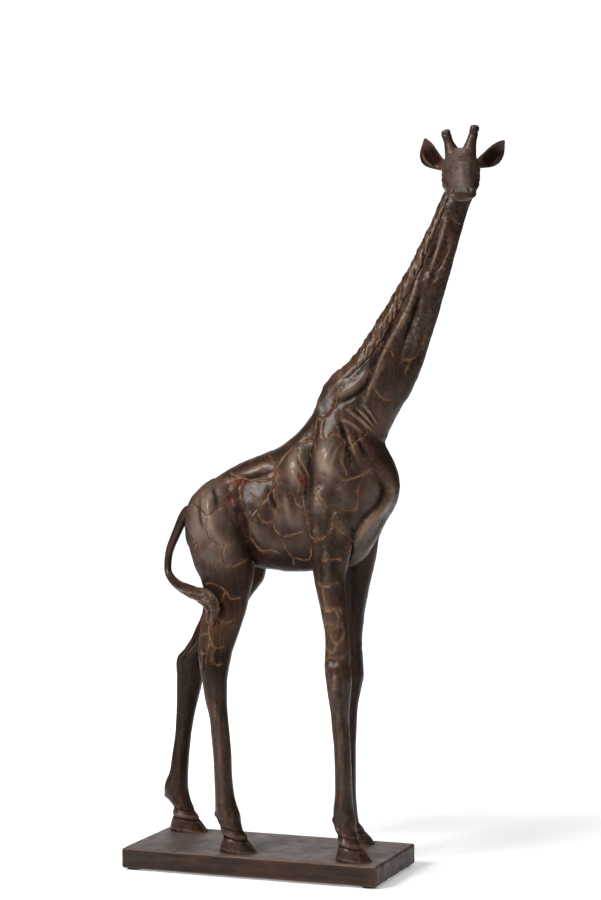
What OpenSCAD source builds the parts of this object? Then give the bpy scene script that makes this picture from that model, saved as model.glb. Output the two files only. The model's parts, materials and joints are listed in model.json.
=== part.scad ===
// Standing giraffe, carved from jointed blocks and fixed on a flat rectangular plinth.
// +X is the way the giraffe walks, +Y its left side, +Z up. The origin is the centre of the
// plinth's underside. Heights in the animal's own tables are measured above the plinth's top.

/* [Plinth] */
// Length of the plinth, along the animal
plinth_l = 311; // [290:1:330]
// Width of the plinth
plinth_w = 143; // [138:1:160]
// Thickness of the plinth
plinth_t = 24; // [20:1:30]
// Chamfer round the plinth's edges
plinth_edge = 1.5; // [1:0.5:4]
// Radius of the plinth's upright corners
plinth_corner = 2; // [1:0.5:6]
// Radius of the four rubber pads
pad_r = 8; // [5:0.5:12]
// Thickness of the rubber pads
pad_t = 2; // [1:0.5:4]
// Distance of a pad's centre in from the plinth's edges
pad_inset = 12; // [11:1:20]

/* [Fixings] */
// Radius of the wooden dowels that join legs and body
leg_dowel_r = 4; // [3:0.5:5]
// Length of a leg's dowel
leg_dowel_l = 40; // [24:2:50]
// Radius of the dowels between body, neck and head
neck_dowel_r = 5; // [3:0.5:5]
// Length of the two dowels at the foot of the neck
neck_dowel_l = 56; // [30:2:60]
// Length of the dowel between neck and head
head_dowel_l = 28; // [20:2:32]
// Radius of a plinth screw's shank
screw_r = 2; // [1.5:0.25:2.5]
// Radius of a plinth screw's head
screw_head_r = 4.5; // [4:0.25:5]
// Thickness of a plinth screw's head
screw_head_t = 3; // [2:0.5:4]
// Depth of the counterbore that sinks the screw's head
screw_sink = 8; // [5:1:12]
// How far a screw reaches up into a hoof
screw_reach = 22; // [14:1:30]
// Gap between a peg, dowel or screw and the wall of its hole
fit_gap = 0.1; // [0.05:0.05:0.2]

/* [Head] */
// How far the head is turned to the animal's right, in degrees
head_turn = 73; // [60:1:80]
// How far the nose points down, in degrees
head_nod = 20; // [10:1:30]
// Length of the two horns, from the crown
horn_l = 25; // [18:1:32]
// Share of that length that the right horn has
short_horn = 0.84; // [0.7:0.02:1]
// Radius of a horn's shaft
horn_r = 5; // [4:0.5:6]
// Radius of the knob on a horn's tip
horn_tip_r = 5.4; // [5:0.1:7]
// Radius of the peg that holds an ear
ear_peg_r = 2.5; // [2:0.5:3]
// Radius of the peg that holds the tail
tail_peg_r = 3.5; // [3:0.5:4]

/* [Hidden] */

wood = [0.26, 0.19, 0.16];
wood_dark = [0.20, 0.15, 0.13];
beech = [0.72, 0.58, 0.40];
steel = [0.62, 0.63, 0.65];
rubber = [0.08, 0.08, 0.08];

leg_sides = 20;
torso_sides = 36;
neck_sides = 28;
head_sides = 24;
tail_sides = 12;
round_fn = 48;

// Height above the plinth at which the legs meet the body
seam_z = 322;

// A leg's rings, from the sole up: height, centre x, centre y, half depth, half width
leg_front_right_rings = [
    [0, 121, -48, 20.5, 15], [5, 120, -48, 19, 14.5], [12, 118, -48, 15.5, 13],
    [17, 116, -48, 13.5, 11.5], [26, 114, -47, 12, 10.5], [34, 111, -47, 12, 11],
    [41, 110, -46, 13, 11.5], [50, 109, -46, 12.5, 11], [59, 108, -46, 11.5, 10.5],
    [77, 108, -45, 10, 9.2], [104, 107, -44, 9.5, 9], [132, 105, -43, 9.5, 9],
    [150, 103, -42, 10, 9], [168, 102, -42, 11, 10], [186, 101, -41, 13.5, 12],
    [204, 100, -40, 15.5, 13.5], [213, 99, -39, 15.5, 13.5], [222, 98, -38, 15, 13],
    [249, 97, -36, 14, 12], [267, 94, -35, 14.5, 12.5], [285, 91, -33, 15.5, 13.5],
    [303, 87, -30, 17, 14.5], [322, 85, -28, 19.5, 15]
];
leg_front_left_rings = [
    [0, 92, 48, 20, 15], [5, 91, 48, 19, 14.5], [12, 88, 48, 15.5, 13],
    [17, 85, 47, 13.5, 11.5], [26, 82, 47, 12, 10.5], [34, 80, 47, 12.5, 11],
    [41, 79, 47, 13, 11.5], [50, 79, 46, 12.5, 11], [62, 80, 46, 11, 10],
    [90, 81, 45, 10, 9], [119, 82, 44, 10, 9], [156, 84, 43, 10, 9.5],
    [175, 86, 42, 11.5, 11], [194, 88, 40, 14, 13], [203, 88, 40, 14, 13],
    [222, 88, 39, 13, 12.5], [240, 88, 37, 13, 12], [259, 90, 36, 13.5, 12],
    [278, 92, 33, 14.5, 13], [296, 95, 31, 16, 14], [322, 98, 28, 20, 15]
];
leg_hind_right_rings = [
    [0, -20, -44, 22, 15], [5, -22, -44, 20, 14.5], [12, -24, -44, 16, 13],
    [17, -25, -44, 13.5, 11.5], [24, -28, -44, 13, 11], [32, -31, -44, 13.5, 11.5],
    [41, -33, -44, 14.5, 12], [50, -35, -44, 13.5, 11.5], [62, -37, -44, 11.5, 10.5],
    [86, -39, -44, 10.5, 9.5], [114, -41, -43, 11, 9.5], [150, -45, -42, 11, 10],
    [172, -49, -41, 13, 11], [193, -51, -40, 15, 12.5], [206, -52, -39, 17, 13.5],
    [218, -52, -38, 19, 14.5], [227, -52, -37, 20.5, 14.5], [235, -50.5, -36, 21.5, 14.5],
    [251, -47, -35, 24, 15], [271, -43, -33, 26, 16], [292, -40, -30, 27.5, 17],
    [310, -41, -28, 32, 18], [322, -44, -27, 36, 19]
];
leg_hind_left_rings = [
    [0, -122, 51, 24, 15], [5, -124, 51, 22, 14.5], [11, -126, 51, 19, 13.5],
    [17, -127, 50, 15.5, 12], [24, -128, 50, 13, 11], [30, -130, 50, 12.5, 11],
    [39, -135, 49, 14.5, 12], [48, -138, 49, 15.2, 12], [58, -137, 48, 14, 11],
    [72, -134, 48, 11.5, 10], [107, -129, 47, 10, 9.5], [136, -125, 46, 11, 9.5],
    [155, -122, 45, 13, 10.5], [174, -119, 44, 15.5, 12], [189, -117, 43, 16.5, 13],
    [203, -115, 41, 18, 14], [212, -111, 40, 19, 14.5], [220, -104, 39, 18.5, 14.5],
    [233, -94, 38, 19, 14.5], [246, -85, 36, 21, 15], [258, -77, 34, 22.5, 16],
    [273, -69, 32, 25, 16.5], [290, -61, 30, 30, 17], [306, -54, 28, 36, 18],
    [322, -52, 27, 38, 19]
];

// The body's rings, from the rump to the foot of the neck:
// upper point x and height, lower point x and height, half width
torso_rings = [
    [-99, 384, -99, 330, 12], [-95, 398, -95, 296, 26], [-87, 411, -87, 264, 37],
    [-70, 423, -71, 240, 44], [-50, 435, -51, 232, 47], [-28, 446, -28, 240, 47],
    [-10, 453, -10, 280, 44], [8, 459.5, 10, 312, 43], [22, 468, 32, 318, 42],
    [39, 481, 56, 300, 43], [51, 496, 80, 262, 45], [59, 509, 106, 262, 45],
    [62.5, 517, 130, 290, 42], [64, 523, 147, 380, 38], [66, 527, 156.5, 420, 33],
    [67, 530, 150, 447, 29], [68, 533, 141, 469, 26], [70.5, 537.5, 150.5, 495, 24]
];
// The neck's rings, from its foot to the nape, written the same way
neck_rings = [
    [70.5, 537.5, 150.5, 495, 24], [103, 565, 173.5, 529, 21], [130, 602, 191, 572, 18.5],
    [153, 638.5, 203, 611, 17], [174, 673, 215, 651, 15.5], [192, 708, 226, 689, 14.5],
    [208, 742, 237, 726, 14], [219, 765, 246, 750, 14]
];
// The head's rings along its own axis: distance from the skull's centre towards the nose,
// half width, half height, height of the ring's centre
skull = [231.5, -4, 769];
head_rings = [
    [-21, 6, 6.5, 0.5], [-17, 13, 15, 2], [-9, 18, 21.5, 4.5], [1, 20.3, 25.3, 6.3],
    [10, 20.8, 23.5, 3.5], [18, 20.4, 20, 0.5], [28, 18.2, 16.3, -1.3], [40, 16, 12.5, -2],
    [52, 15.3, 9.5, -2.5], [62, 16, 7.9, -2.9], [69, 15.6, 6.8, -3.3], [74, 12.6, 4.8, -3.8],
    [77, 7, 2.3, -4.3]
];
// An ear's rings out from its root: distance, forward sweep, rise, half height, half thickness
ear_rings = [
    [0, 0, 0, 4, 3.4], [5, -1, 1.5, 6.5, 3.4], [9.5, -2, 3.6, 9, 3.2], [14, -3, 6, 11, 2.9],
    [18, -4, 8.6, 11.5, 2.6], [22, -5, 12, 10.5, 2.3], [25, -5.5, 16, 8.5, 2], [28.5, -6, 20.5, 5, 1.6],
    [31, -6.4, 24.4, 1.5, 1]
];
// An ear's root in the head, and how far out from it the ear's flat seat lies
ear_root = [-5, 14, 8];
ear_seat = 3;
// How deep a horn stands in the head
horn_socket = 20.5;
// The tail's route from the rump round to the thigh, and its radius at each point
tail_points = [
    [-101, 0, 387, 6.8], [-107, 0, 379, 6.4], [-113, 0, 367, 5.7], [-119, 0, 354, 5.2],
    [-124, -1, 341, 4.7], [-126, -2, 328, 4.4], [-125, -4, 316, 4.4], [-119, -8, 308, 5],
    [-107, -18, 302, 5.6], [-92, -31, 298.5, 6.6], [-76, -43, 295.5, 7.4], [-65, -50, 293, 7.8],
    [-56, -53.5, 290.5, 7.2], [-49, -54.5, 285.5, 6], [-46.5, -54.5, 278.5, 4.4], [-47.5, -53.5, 270, 2.6]
];

// Where each leg's hoof screw and body dowel stand: hoof x and y, hip x and y
leg_axes = [
    [87, 47, 98, 28], [118, -47, 86, -28], [-125, 50, -55, 27], [-25, -44, -44, -27]
];

// One coordinate of a smooth curve through four values, a fraction t of the way from b to c
function smooth_step(a, b, c, d, t) =
    ((2 * b) + (c - a) * t + (2 * a - 5 * b + 4 * c - d) * t * t
    + (3 * b - a - 3 * c + d) * t * t * t) / 2;
// Rows of a table, with smooth rows put between them
function smooth_rows(rows, steps) = [
    for (i = [0 : len(rows) - 2]) for (k = [0 : steps - 1])
        let (a = rows[max(i - 1, 0)], b = rows[i], c = rows[i + 1])
        let (d = rows[min(i + 2, len(rows) - 1)])
        [for (j = [0 : len(b) - 1]) smooth_step(a[j], b[j], c[j], d[j], k / steps)],
    rows[len(rows) - 1]
];
// A ring of points: centre, two unit directions and the half lengths along them
function ring(centre, u, v, half_u, half_v, sides) = [
    for (i = [0 : sides - 1])
        let (angle = 360 * i / sides)
        centre + u * half_u * cos(angle) + v * half_v * sin(angle)
];
function unit(v) = v / norm(v);
function leg_ring(row) = ring([row[1], row[2], row[0]], [1, 0, 0], [0, 1, 0], row[3], row[4], leg_sides);
// A ring that leans with the line between an upper and a lower point
function leaning_ring(row, sides) =
    let (top = [row[0], 0, row[1]], low = [row[2], 0, row[3]])
    ring((top + low) / 2, [0, 1, 0], unit(top - low), row[4], norm(top - low) / 2, sides);
// The body's underside is flat where the legs meet it
function above_seam(points) = [for (p = points) [p[0], p[1], max(p[2], seam_z)]];
function head_ring(row) =
    ring([row[0], 0, row[3]], [0, 1, 0], [0, 0, 1], row[1], row[2], head_sides);
function ear_ring(row) =
    ring([row[1], row[0], row[2]], unit([0.18, -0.56, 0.8]), unit([0.95, 0.23, -0.06]), row[3], row[4], 16);
function tail_way(points, i) =
    unit(first3(points[min(i + 1, len(points) - 1)]) - first3(points[max(i - 1, 0)]));
function first3(row) = [row[0], row[1], row[2]];
function tail_ring(points, i) =
    let (way = tail_way(points, i), side = unit(cross(way, [0.3, 1, 0.2])))
    ring(first3(points[i]), side, cross(way, side), points[i][3], points[i][3], tail_sides);

// A closed skin over a list of rings with equal numbers of points
module loft(rings) {
    sides = len(rings[0]);
    last = len(rings) - 1;
    points = [for (r = rings) each r];
    walls = [
        for (j = [0 : last - 1]) for (i = [0 : sides - 1])
            let (a = j * sides + i, b = j * sides + (i + 1) % sides)
            each [[a, a + sides, b], [b, a + sides, b + sides]]
    ];
    foot = [for (i = [0 : sides - 1]) i];
    crown = [for (i = [sides - 1 : -1 : 0]) last * sides + i];
    polyhedron(points, concat(walls, [foot, crown]), convexity = 6);
}

// A flat bar's section with its corners chamfered
module chamfered(length, height, edge) {
    polygon([
        [-length / 2 + edge, 0], [length / 2 - edge, 0], [length / 2, edge],
        [length / 2, height - edge], [length / 2 - edge, height],
        [-length / 2 + edge, height], [-length / 2, height - edge], [-length / 2, edge]
    ]);
}
// The plinth is the common part of its rounded outline and two chamfered bars that cross
module plinth_blank() {
    intersection() {
        linear_extrude(plinth_t) rounded_outline();
        rotate([90, 0, 0]) linear_extrude(plinth_w + 2, center = true)
            chamfered(plinth_l, plinth_t, plinth_edge);
        rotate([90, 0, 90]) linear_extrude(plinth_l + 2, center = true)
            chamfered(plinth_w, plinth_t, plinth_edge);
    }
}
module rounded_outline() {
    straight_l = plinth_l - 2 * plinth_corner;
    straight_w = plinth_w - 2 * plinth_corner;
    square([plinth_l, straight_w], center = true);
    square([straight_l, plinth_w], center = true);
    for (sx = [-1, 1], sy = [-1, 1])
        translate([sx * straight_l / 2, sy * straight_w / 2]) circle(plinth_corner, $fn = round_fn);
}
// Stands things on the axis of leg i's hoof screw
module at_screw(i) {
    translate([leg_axes[i][0], leg_axes[i][1], 0]) children();
}
module plinth() {
    color(wood_dark) difference() {
        plinth_blank();
        for (i = [0 : 3]) at_screw(i) {
            translate([0, 0, -1]) cylinder(h = plinth_t + 2, r = screw_r + fit_gap, $fn = round_fn);
            translate([0, 0, -1]) cylinder(h = screw_sink + 1, r = screw_head_r + fit_gap, $fn = round_fn);
        }
    }
}
module pad(sx, sy) {
    color(rubber)
        translate([sx * (plinth_l / 2 - pad_inset), sy * (plinth_w / 2 - pad_inset), -pad_t])
        cylinder(h = pad_t, r = pad_r, $fn = round_fn);
}
module screw(i) {
    color(steel) at_screw(i) {
        translate([0, 0, screw_sink - screw_head_t])
            cylinder(h = screw_head_t, r = screw_head_r, $fn = round_fn);
        translate([0, 0, screw_sink])
            cylinder(h = plinth_t - screw_sink + screw_reach, r = screw_r, $fn = round_fn);
    }
}

// A leg: its lofted limb, drilled for its screw below and its dowel above
module leg(rows, i) {
    color(wood) difference() {
        translate([0, 0, plinth_t]) loft([for (row = smooth_rows(rows, 2)) leg_ring(row)]);
        at_screw(i) translate([0, 0, plinth_t - 1])
            cylinder(h = screw_reach + 1, r = screw_r + fit_gap, $fn = round_fn);
        leg_dowel_space(i, fit_gap);
    }
}
module leg_dowel_space(i, gap) {
    translate([leg_axes[i][2], leg_axes[i][3], plinth_t + seam_z - leg_dowel_l / 2])
        cylinder(h = leg_dowel_l, r = leg_dowel_r + gap, $fn = round_fn);
}
module leg_dowel(i) {
    color(beech) leg_dowel_space(i, 0);
}

// The two dowels at the foot of the neck stand square to the slanted joint
neck_foot = neck_rings[0];
neck_tilt = atan2(neck_foot[1] - neck_foot[3], neck_foot[2] - neck_foot[0]);
neck_mid = [(neck_foot[0] + neck_foot[2]) / 2, 0, (neck_foot[1] + neck_foot[3]) / 2 + plinth_t];
module neck_dowel_space(side, gap) {
    translate(neck_mid) rotate([0, neck_tilt, 0])
        translate([side * 20, 0, -neck_dowel_l / 2])
        cylinder(h = neck_dowel_l, r = neck_dowel_r + gap, $fn = round_fn);
}
nape = neck_rings[len(neck_rings) - 1];
nape_tilt = atan2(nape[1] - nape[3], nape[2] - nape[0]);
nape_mid = [(nape[0] + nape[2]) / 2, 0, (nape[1] + nape[3]) / 2 + plinth_t];
module at_nape() {
    translate(nape_mid) rotate([0, nape_tilt, 0]) children();
}
module head_dowel_space(gap) {
    at_nape() translate([0, 0, -head_dowel_l / 2])
        cylinder(h = head_dowel_l, r = neck_dowel_r + gap, $fn = round_fn);
}

module torso() {
    color(wood) difference() {
        translate([0, 0, plinth_t])
            loft([for (row = smooth_rows(torso_rings, 3)) above_seam(leaning_ring(row, torso_sides))]);
        for (i = [0 : 3]) leg_dowel_space(i, fit_gap);
        for (side = [-1, 1]) neck_dowel_space(side, fit_gap);
        tail_peg_space(fit_gap);
        tail_recess();
    }
}

// The tail's peg and the flat-bottomed recess that its root sits in
tail_lean = 125;
module at_tail() {
    translate([tail_points[0][0], 0, tail_points[0][2] + plinth_t]) rotate([0, -tail_lean, 0]) children();
}
module tail_peg_space(gap) {
    at_tail() translate([0, 0, -16]) cylinder(h = 16, r = tail_peg_r + gap, $fn = round_fn);
}
module tail_recess() {
    at_tail() cylinder(h = 14, r = tail_points[0][3] + 0.4, $fn = round_fn);
}
module tail() {
    rows = smooth_rows(tail_points, 3);
    color(wood) union() {
        translate([0, 0, plinth_t]) loft([for (i = [0 : len(rows) - 1]) tail_ring(rows, i)]);
        tail_peg_space(0);
    }
}

module neck() {
    color(wood) difference() {
        translate([0, 0, plinth_t])
            loft([for (row = smooth_rows(neck_rings, 4)) leaning_ring(row, neck_sides)]);
        for (side = [-1, 1]) neck_dowel_space(side, fit_gap);
        head_dowel_space(fit_gap);
    }
}
module neck_dowel(side) {
    color(beech) neck_dowel_space(side, 0);
}

// The head's own frame: +X to the nose, +Y to its left
module at_skull() {
    translate(skull + [0, 0, plinth_t]) rotate([0, 0, -head_turn]) rotate([0, head_nod, 0]) children();
}
module at_horn(side) {
    at_skull() translate([-1, side * 8, 12]) rotate([-side * 12, -12, 0]) children();
}
module at_ear(side) {
    at_skull() scale([1, side, 1]) translate(ear_root) children();
}
module head() {
    color(wood) difference() {
        at_skull() loft([for (row = smooth_rows(head_rings, 3)) head_ring(row)]);
        at_nape() translate([-30, -16, -40]) cube([60, 40, 40]);
        head_dowel_space(fit_gap);
        for (side = [-1, 1]) {
            at_horn(side) cylinder(h = 40, r = horn_r + fit_gap, $fn = round_fn);
            ear_peg_space(side, fit_gap);
            ear_seat_space(side);
        }
    }
}
module head_dowel() {
    color(beech) head_dowel_space(0);
}
module ossicone(side) {
    knob_z = horn_socket + horn_l * (side > 0 ? 1 : short_horn) - horn_tip_r;
    color(wood) at_horn(side) {
        cylinder(h = knob_z, r = horn_r, $fn = round_fn);
        translate([0, 0, knob_z]) sphere(horn_tip_r, $fn = round_fn);
    }
}
module ear_peg_space(side, gap) {
    at_ear(side) rotate([90, 0, 0])
        translate([0, 0, -ear_seat - 1]) cylinder(h = 10 + ear_seat, r = ear_peg_r + gap, $fn = round_fn);
}
// The flat-bottomed seat that an ear's root stands in
module ear_seat_space(side) {
    at_ear(side) translate([0, ear_seat, 0]) rotate([-90, 0, 0]) cylinder(h = 12, r = 7.5, $fn = round_fn);
}
module ear(side) {
    color(wood) union() {
        at_ear(side) translate([0, ear_seat, 0]) loft([for (row = smooth_rows(ear_rings, 2)) ear_ring(row)]);
        ear_peg_space(side, 0);
    }
}

plinth();
pad(1, 1);  // pad_front_left
pad(1, -1);  // pad_front_right
pad(-1, 1);  // pad_rear_left
pad(-1, -1);  // pad_rear_right
screw(0);  // screw_front_left
screw(1);  // screw_front_right
screw(2);  // screw_hind_left
screw(3);  // screw_hind_right
leg(leg_front_left_rings, 0);  // leg_front_left
leg(leg_front_right_rings, 1);  // leg_front_right
leg(leg_hind_left_rings, 2);  // leg_hind_left
leg(leg_hind_right_rings, 3);  // leg_hind_right
leg_dowel(0);  // dowel_front_left
leg_dowel(1);  // dowel_front_right
leg_dowel(2);  // dowel_hind_left
leg_dowel(3);  // dowel_hind_right
torso();
tail();
neck();
neck_dowel(-1);  // neck_dowel_back
neck_dowel(1);  // neck_dowel_throat
head();
head_dowel();
ear(1);  // ear_left
ear(-1);  // ear_right
ossicone(1);  // ossicone_left
ossicone(-1);  // ossicone_right
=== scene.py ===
import contextlib
import itertools
import json
import math

import bmesh
import bpy
import numpy as np
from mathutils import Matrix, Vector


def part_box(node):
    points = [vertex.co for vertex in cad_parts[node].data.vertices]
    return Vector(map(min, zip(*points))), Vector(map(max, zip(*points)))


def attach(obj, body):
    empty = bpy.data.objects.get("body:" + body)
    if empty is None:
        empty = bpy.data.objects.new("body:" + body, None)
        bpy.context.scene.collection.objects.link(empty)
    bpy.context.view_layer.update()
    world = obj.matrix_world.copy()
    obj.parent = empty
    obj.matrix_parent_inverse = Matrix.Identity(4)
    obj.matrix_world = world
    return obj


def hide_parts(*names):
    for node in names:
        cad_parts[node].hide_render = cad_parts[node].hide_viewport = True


# A carved, dark-stained giraffe on a plinth. Shapes are worked out in millimetres with +X the way the
# animal walks, +Y its left side, and heights above the plinth's top. Pieces are made from them in metres.

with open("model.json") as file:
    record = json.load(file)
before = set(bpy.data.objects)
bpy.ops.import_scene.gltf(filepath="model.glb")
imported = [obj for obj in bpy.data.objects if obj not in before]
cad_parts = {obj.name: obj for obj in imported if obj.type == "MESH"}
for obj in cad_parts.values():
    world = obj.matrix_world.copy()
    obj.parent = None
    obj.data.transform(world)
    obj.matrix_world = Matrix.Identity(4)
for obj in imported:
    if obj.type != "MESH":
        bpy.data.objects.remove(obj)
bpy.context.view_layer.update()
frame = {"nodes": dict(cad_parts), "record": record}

MM = 0.001
PLINTH_LOW, PLINTH_HIGH = [np.array(corner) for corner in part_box("plinth")]
PLINTH_TOP = PLINTH_HIGH[2]
LIFT = np.array([0, 0, PLINTH_TOP])
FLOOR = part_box("pad_front_left")[0][2]
SEAM = (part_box("torso")[0][2] - PLINTH_TOP) / MM
BODY_VOXEL = 1.0
HEAD_VOXEL = 0.6


# ---------------------------------------------------------------- curves and lofts

X, Y, Z = np.eye(3)


def smooth_rows(rows, steps=4):
    """Rows of a table with Catmull-Rom rows between them."""
    rows = np.array(rows, float)
    ends = np.vstack([rows[:1], rows, rows[-1:]])
    t = (np.arange(steps) / steps)[:, None]
    out = []
    for i in range(len(rows) - 1):
        a, b, c, d = ends[i : i + 4]
        out.append(
            (2 * b + (c - a) * t + (2 * a - 5 * b + 4 * c - d) * t**2 + (3 * b - a - 3 * c + d) * t**3) / 2
        )
    return np.vstack(out + [rows[-1:]])


def unit(v):
    return v / np.linalg.norm(v, axis=-1, keepdims=True)


def smoothstep(low, high, x):
    t = np.clip((x - low) / (high - low), 0, 1)
    return t * t * (3 - 2 * t)


def hump(x, width=1.0):
    """A bell curve that is 1 where x is 0."""
    return np.exp(-((x / width) ** 2))


def off_oval(points, centre, radii):
    """How far points are from an oval's centre, where 1 is on the oval."""
    return np.linalg.norm((points - centre) / radii, axis=1)


def circle(sides):
    """Angles once round a ring."""
    return np.arange(sides) * 2 * math.pi / sides


def loft(rings):
    """A closed skin over rings of equal length, as (points, faces)."""
    rings = np.array(rings)
    count, sides, _ = rings.shape
    faces = []
    for j in range(count - 1):
        for i in range(sides):
            k = (i + 1) % sides
            faces.append([j * sides + i, j * sides + k, (j + 1) * sides + k, (j + 1) * sides + i])
    faces.append(list(range(sides))[::-1])
    faces.append([(count - 1) * sides + i for i in range(sides)])
    return rings.reshape(-1, 3), faces


def oval(centre, u, v, half_u, half_v, sides=40, power=2.0):
    """A superellipse ring: power 2 is an ellipse, and more is squarer."""
    angle = circle(sides)
    c, s = np.cos(angle), np.sin(angle)
    cu = np.sign(c) * np.abs(c) ** (2 / power)
    sv = np.sign(s) * np.abs(s) ** (2 / power)
    return np.array(centre) + np.outer(cu * half_u, u) + np.outer(sv * half_v, v)


def leg_loft(rows):
    """Rows are height, centre x, centre y, half depth, half width."""
    return loft([oval([r[1], r[2], r[0]], X, Y, r[3], r[4]) for r in smooth_rows(rows)])


def leaning_loft(rows, power=2.0):
    """Rows are upper point x and height, lower point x and height, half width."""
    rings = []
    for r in smooth_rows(rows):
        top, low = np.array([r[0], 0, r[1]]), np.array([r[2], 0, r[3]])
        half = np.linalg.norm(top - low) / 2
        rings.append(oval((top + low) / 2, unit(top - low), Y, half, r[4], power=power))
    return loft(rings)


def swept_tube(points, sides=20):
    """Rows are x, y, height, radius."""
    rows = smooth_rows(points, 6)
    way = unit(np.gradient(rows[:, :3], axis=0))
    no_tube_runs_this_way = [0.3, 1.0, 0.2]
    rings = []
    for r, w in zip(rows, way):
        side = unit(np.cross(w, no_tube_runs_this_way))
        rings.append(oval(r[:3], side, np.cross(w, side), r[3], r[3], sides))
    return loft(rings)


def ball(centre, radius, sides=24):
    """A sphere as a loft of rings, left a little open at its poles."""
    centre = np.array(centre, float)
    rings = []
    for a in np.linspace(0.02, math.pi - 0.02, sides // 2):
        wide = radius * math.sin(a)
        rings.append(oval(centre + X * -radius * math.cos(a), Y, Z, wide, wide, sides))
    return loft(rings)


# ---------------------------------------------------------------- the animal's tables

LEG_FRONT_RIGHT = [
    (-3, 121, -48, 20.5, 15), (0, 121, -48, 20.5, 15), (5, 120, -48, 19, 14.5), (12, 118, -48, 15.5, 13),
    (17, 116, -48, 13.5, 11.5), (26, 114, -47, 12, 10.5), (34, 111, -47, 12, 11),
    (41, 110, -46, 13, 11.5), (50, 109, -46, 12.5, 11), (59, 108, -46, 11.5, 10.5),
    (77, 108, -45, 10, 9.2), (104, 107, -44, 9.5, 9), (132, 105, -43, 9.5, 9),
    (150, 103, -42, 10, 9), (168, 102, -42, 11, 10), (186, 101, -41, 13.5, 12),
    (204, 100, -40, 15.5, 13.5), (213, 99, -39, 15.5, 13.5), (222, 98, -38, 15, 13),
    (249, 97, -36, 14, 12), (267, 94, -35, 14.5, 12.5), (285, 91, -33, 15.5, 13.5),
    (303, 87, -30, 17, 14.5), (322, 85, -28, 19.5, 15), (345, 86, -27, 24, 15.5), (370, 86, -26, 28, 16.5),
    (400, 86, -25, 31, 17), (430, 84, -23, 29, 16), (460, 80, -20, 24, 13), (490, 74, -15, 17, 9),
    (508, 69, -10, 9, 5),
]
LEG_FRONT_LEFT = [
    (-3, 92, 48, 20, 15), (0, 92, 48, 20, 15), (5, 91, 48, 19, 14.5), (12, 88, 48, 15.5, 13),
    (17, 85, 47, 13.5, 11.5), (26, 82, 47, 12, 10.5), (34, 80, 47, 12.5, 11),
    (41, 79, 47, 13, 11.5), (50, 79, 46, 12.5, 11), (62, 80, 46, 11, 10),
    (90, 81, 45, 10, 9), (119, 82, 44, 10, 9), (156, 84, 43, 10, 9.5),
    (175, 86, 42, 11.5, 11), (194, 88, 40, 14, 13), (203, 88, 40, 14, 13),
    (222, 88, 39, 13, 12.5), (240, 88, 37, 13, 12), (259, 90, 36, 13.5, 12),
    (278, 92, 33, 14.5, 13), (296, 95, 31, 16, 14), (322, 98, 28, 20, 15), (345, 98, 27, 25, 15.5),
    (370, 95, 26, 29, 16.5), (400, 91, 25, 31, 17), (430, 87, 23, 29, 16), (460, 81, 20, 24, 13),
    (490, 74, 15, 17, 9), (508, 69, 10, 9, 5),
]
LEG_HIND_RIGHT = [
    (-3, -20, -44, 22, 15), (0, -20, -44, 22, 15), (5, -22, -44, 20, 14.5), (12, -24, -44, 16, 13),
    (17, -25, -44, 13.5, 11.5), (24, -28, -44, 13, 11), (32, -31, -44, 13.5, 11.5),
    (41, -33, -44, 14.5, 12), (50, -35, -44, 13.5, 11.5), (62, -37, -44, 11.5, 10.5),
    (86, -39, -44, 10.5, 9.5), (114, -41, -43, 11, 9.5), (150, -45, -42, 11, 10),
    (172, -49, -41, 13, 11), (193, -51, -40, 15, 12.5), (206, -52, -39, 17, 13.5),
    (218, -52, -38, 19, 14.5), (227, -52, -37, 20.5, 14.5), (235, -50.5, -36, 21.5, 14.5),
    (251, -47, -35, 24, 15), (271, -43, -33, 26, 16), (292, -40, -30, 27.5, 17),
    (310, -41, -28, 32, 18), (322, -44, -27, 36, 19), (345, -48, -26, 40, 20), (370, -51, -24.5, 40, 21),
    (392, -54, -22, 35, 20), (412, -54, -18, 26, 15), (426, -51, -13, 13, 8),
]
LEG_HIND_LEFT = [
    (-3, -122, 51, 24, 15), (0, -122, 51, 24, 15), (5, -124, 51, 22, 14.5), (11, -126, 51, 19, 13.5),
    (17, -127, 50, 15.5, 12), (24, -128, 50, 13, 11), (30, -130, 50, 12.5, 11),
    (39, -135, 49, 14.5, 12), (48, -138, 49, 15.2, 12), (58, -137, 48, 14, 11),
    (72, -134, 48, 11.5, 10), (107, -129, 47, 10, 9.5), (136, -125, 46, 11, 9.5),
    (155, -122, 45, 13, 10.5), (174, -119, 44, 15.5, 12), (189, -117, 43, 16.5, 13),
    (203, -115, 41, 18, 14), (212, -111, 40, 19, 14.5), (220, -104, 39, 18.5, 14.5),
    (233, -94, 38, 19, 14.5), (246, -85, 36, 21, 15), (258, -77, 34, 22.5, 16),
    (273, -69, 32, 25, 16.5), (290, -61, 30, 30, 17), (306, -54, 28, 36, 18),
    (322, -52, 27, 38, 19), (345, -53, 26, 41, 20), (370, -54, 24.5, 40, 21),
    (392, -55, 22, 35, 20), (412, -55, 18, 26, 15), (426, -52, 13, 13, 8),
]
TORSO = [
    (-99, 384, -99, 352, 12), (-95, 398, -95, 342, 24), (-87, 411, -88, 336, 32), (-70, 423, -72, 332, 37),
    (-50, 435, -52, 328, 39), (-25, 447, -25, 324, 40), (0, 456, 2, 321.5, 41), (20, 466, 26, 319.5, 41.5),
    (38, 480, 52, 320.5, 41.5), (51, 495, 82, 324, 40), (59.5, 508, 108, 330, 40), (62.5, 517, 126, 350, 40),
    (64, 523, 143.5, 382, 37), (66, 527, 156.5, 420, 33), (67, 530, 150, 447, 29), (68, 533, 140.5, 468, 26),
    (70, 537, 149.5, 490, 24), (86, 552, 162.5, 512, 22.5),
]
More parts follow.
